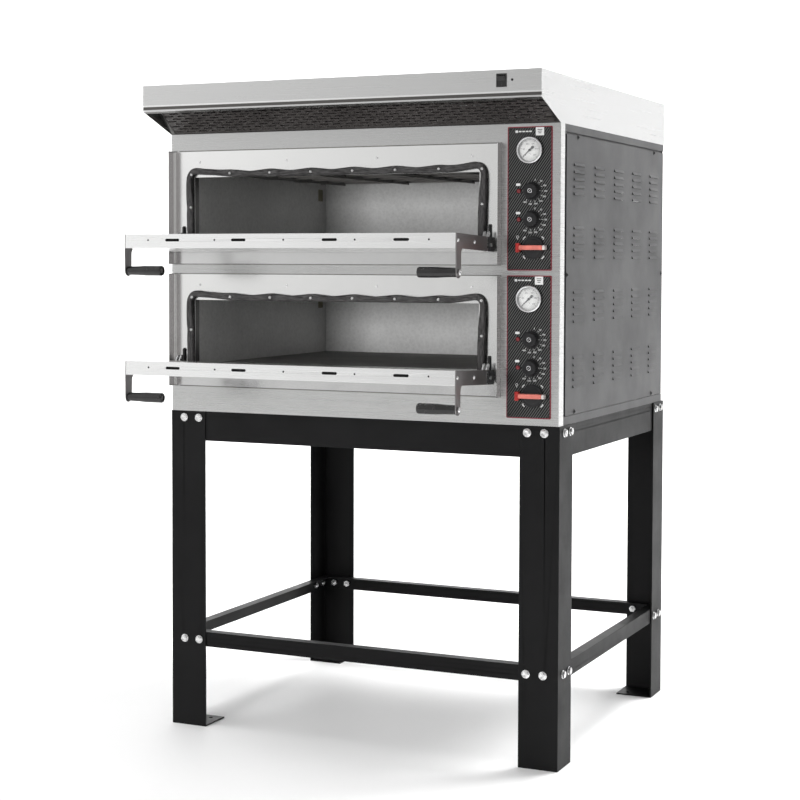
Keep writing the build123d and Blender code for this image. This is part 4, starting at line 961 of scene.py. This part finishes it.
def lamps():
    """Faceted lenses in thin rims beside the knobs, and a small dark one on the hood."""
    facets, facet_depth = 12, 0.03
    lens = [(5.6, 0.6), (5.6, 2.4), (5.0, 3.6), (3.6, 4.7), (1.8, 5.2), (0, 5.35)]
    rim = [(7.0, 0.0), (7.0, 1.4), (6.8, 2.2), (6.2, 2.6), (5.7, 2.4), (5.6, 1.9)]
    lenses, rims = Shape(), Shape()

    def faceted(r, h, angle):
        return r * (1 - facet_depth * math.cos(facets * angle))

    for z in PLATES.values():
        for rise in KNOB_RISES.values():
            spot = front(LAMP_X, z + rise, PLATE_Y)
            lenses.add(lathe(lens, 36, faceted), spot)
            rims.add(lathe(rim, 40), spot)
    spot = front(480.5, ROOF_Z + 93.5, HOOD_FRONT)
    lenses.add(lathe([(2.3, 0.3), (2.2, 1.1), (1.5, 1.8), (0, 2.1)], 24), spot, 1)
    rims.add(lathe([(3.1, 0.0), (3.0, 0.8), (2.6, 1.1), (2.3, 0.9)], 28), spot)
    piece("lamp_lenses", lenses, "root", "lamp_red", ["indicator_lamps"], LENS, INK)
    piece("lamp_rims", rims, "root", "lamp_red", ["indicator_lamps"], KNOB)


# ---- doors ----
def door_fittings(deck):
    """The screws of the free edge and the side straps, and a dark strip of painted shade behind the
    cooling slots.
    """
    dark, bright = Shape(), Shape()
    for i in range(-2, 3):
        x = 195.5 * i
        dark.add(domed_head(2.4, 1.6), on_door(deck, x, -REACH, 3.5, (0, -1, 0), turn=x))
    for side in (-1, 1):
        for y in (-212.0, -108.0):
            spot = on_door(deck, side * (DOOR_HALF + 2.5), y, 2.0, (side, 0, 0), turn=y)
            bright.add(lathe([(4.7, 0.0), (4.7, 0.4), (4.3, 0.6)], 32), spot)
            bright.add(domed_head(4.3, 2.3), raised(spot, 0.4))
        spot = on_door(deck, side * (DOOR_HALF + 6.0), *GRIP_AXIS, (side, 0, 0), turn=0.4)
        bright.add(domed_head(7.6, 2.6), spot)
    piece(deck + "_edge_screws", dark, deck + "_door", "zinc", [deck + "_door_screws"], BLACK_STEEL)
    piece(deck + "_strap_screws", bright, deck + "_door", "zinc", [deck + "_door_screws"], ZINC)
    # painted shade: a dark strip inside the door, behind the cooling slots
    spot = on_door(deck, 0, -REACH + 5.0, 3.0, (0, -1, 0))
    strip = Shape().add(slab(rounded(760, 17, 2.0, 3), 0.0, 2.8, 0.4), spot, smooth=False)
    piece(deck + "_slot_shade_strip", strip, deck + "_door", "wool", [], SLOT_SHADE)


# ---- studio ----
def camera():
    """A long lens, nearly level, with its frame shifted down."""
    yaw, pitch, roll = -0.427344, -0.045536, 0.002673       # radians
    lens, sensor, shift = 78.48387, 36, -0.07421375         # mm, mm, share of the frame
    place = at(1969.87, -4050.54, 1265.97)
    forward = Vector((math.sin(yaw) * math.cos(pitch), math.cos(yaw) * math.cos(pitch), math.sin(pitch)))
    right = Vector((math.cos(yaw), -math.sin(yaw), 0))
    up = right.cross(forward)
    turned_right = math.cos(roll) * right + math.sin(roll) * up
    turned_up = -math.sin(roll) * right + math.cos(roll) * up
    data = bpy.data.cameras.new("camera")
    data.sensor_width = sensor
    data.lens = lens
    data.shift_y = shift
    eye = bpy.data.objects.new("camera", data)
    rotation = Matrix((turned_right, turned_up, -forward)).transposed()
    eye.matrix_world = Matrix.Translation(place) @ rotation.to_4x4()
    bpy.context.scene.collection.objects.link(eye)
    bpy.context.scene.camera = eye


def stage():
    """A seamless pale floor that curves up far behind the object, with painted shade making it a
    little duller in front of it.
    """
    width, near, back, radius, height = 14.0, -9.0, 7.0, 2.5, 9.0       # metres, width to each side
    # painted shade on the floor in front of the object, between these y in metres
    shade_from, shade_to = -1.9, -3.4
    steps = 12
    profile = [(near, 0.0), (back - radius, 0.0)]
    for i in range(1, steps + 1):
        angle = math.pi / 2 * i / steps
        profile.append((back - radius + radius * math.sin(angle), radius - radius * math.cos(angle)))
    profile.append((back, height))
    vertices = [(x, y, z) for y, z in profile for x in (-width, width)]
    faces = [(2 * i, 2 * i + 1, 2 * i + 3, 2 * i + 2) for i in range(len(profile) - 1)]
    mesh = bpy.data.meshes.new("floor")
    mesh.from_pydata(vertices, [], faces)
    floor = bpy.data.objects.new("floor", mesh)
    bpy.context.scene.collection.objects.link(floor)
    for polygon in mesh.polygons:
        polygon.use_smooth = True
    f = Finish("pale_floor", (0.9, 0.9, 0.9), 0.6)
    pale = f.mix(f.spread(f.noise(3.0), 0, 1), (0.895, 0.895, 0.895), (0.905, 0.905, 0.905))
    _, y, _ = f.axes()
    f.color(f.mix(f.spread(y, 0.0, 1.0, shade_from, shade_to), pale, (0.84, 0.84, 0.84)))
    mesh.materials.append(f.material)


def softbox(name, place, target, size, power, spread=180):
    """A soft light that reflections don't show: metres, watts, and its spread in degrees."""
    data = bpy.data.lights.new(name, "AREA")
    data.shape = "RECTANGLE"
    data.size, data.size_y = size
    data.energy = power
    data.spread = math.radians(spread)
    light = bpy.data.objects.new(name, data)
    light.location = place
    light.visible_glossy = False
    light.rotation_mode = "QUATERNION"
    light.rotation_quaternion = (Vector(target) - Vector(place)).to_track_quat("-Z", "Y")
    bpy.context.scene.collection.objects.link(light)


def sky():
    """A pale room that is brighter towards the left and dimmer below the horizon."""
    world = bpy.data.worlds.new("studio")
    bpy.context.scene.world = world
    world.use_nodes = True
    background = next(n for n in world.node_tree.nodes if n.type == "BACKGROUND")
    background.inputs["Color"].default_value = (1, 1, 1, 1)
    room = Nodes(world.node_tree, "Generated")
    x, _, z = room.axes()
    strength = room.math("MULTIPLY", room.spread(x, 1.08, 0.52, -0.60, -0.30),
                         room.spread(z, 0.72, 1.0, -0.10, 0.03))
    world.node_tree.links.new(strength, background.inputs["Strength"])


def lights():
    """Soft light from in front and above, and on the wall behind at both sides."""
    softbox("front", (-0.9, -5.9, 1.35), (0, 0, 1.25), (1.4, 1.0), 25, 44)
    softbox("fill", (-1.1, -1.0, 5.6), (-1.1, -0.9, 0.0), (2.2, 2.2), 120)
    softbox("wall_left", (-4.0, 3.2, 3.5), (-3.0, 7.0, 2.0), (3.0, 3.0), 250)
    softbox("wall_right", (4.6, 3.2, 3.5), (4.0, 7.0, 2.0), (3.0, 3.0), 100)
    softbox("top", (1.6, 2.0, 5.2), (0, 0, 0.6), (2.2, 2.2), 370)


bpy.context.scene.view_settings.view_transform = "Standard"
for part in frame["record"]["subparts"]:
    width = EDGES.get(part["material_slot"])
    if width:
        soften(NODES[part["node"]], width, weld=True)
seal_screws()
cover_screws()
stand_bolts()
lamps()
for deck, z in DECKS.items():
    rope(deck, z)
    door_fittings(deck)
for deck, z in PLATES.items():
    control_plate(deck, z)
    printed_marks(deck, z)
    square_mark(deck, z)
    dial(deck, z)
    main_switch(deck, z)
    for which, rise in KNOB_RISES.items():
        knob(deck, which, z + rise)
camera()
stage()
sky()
lights()
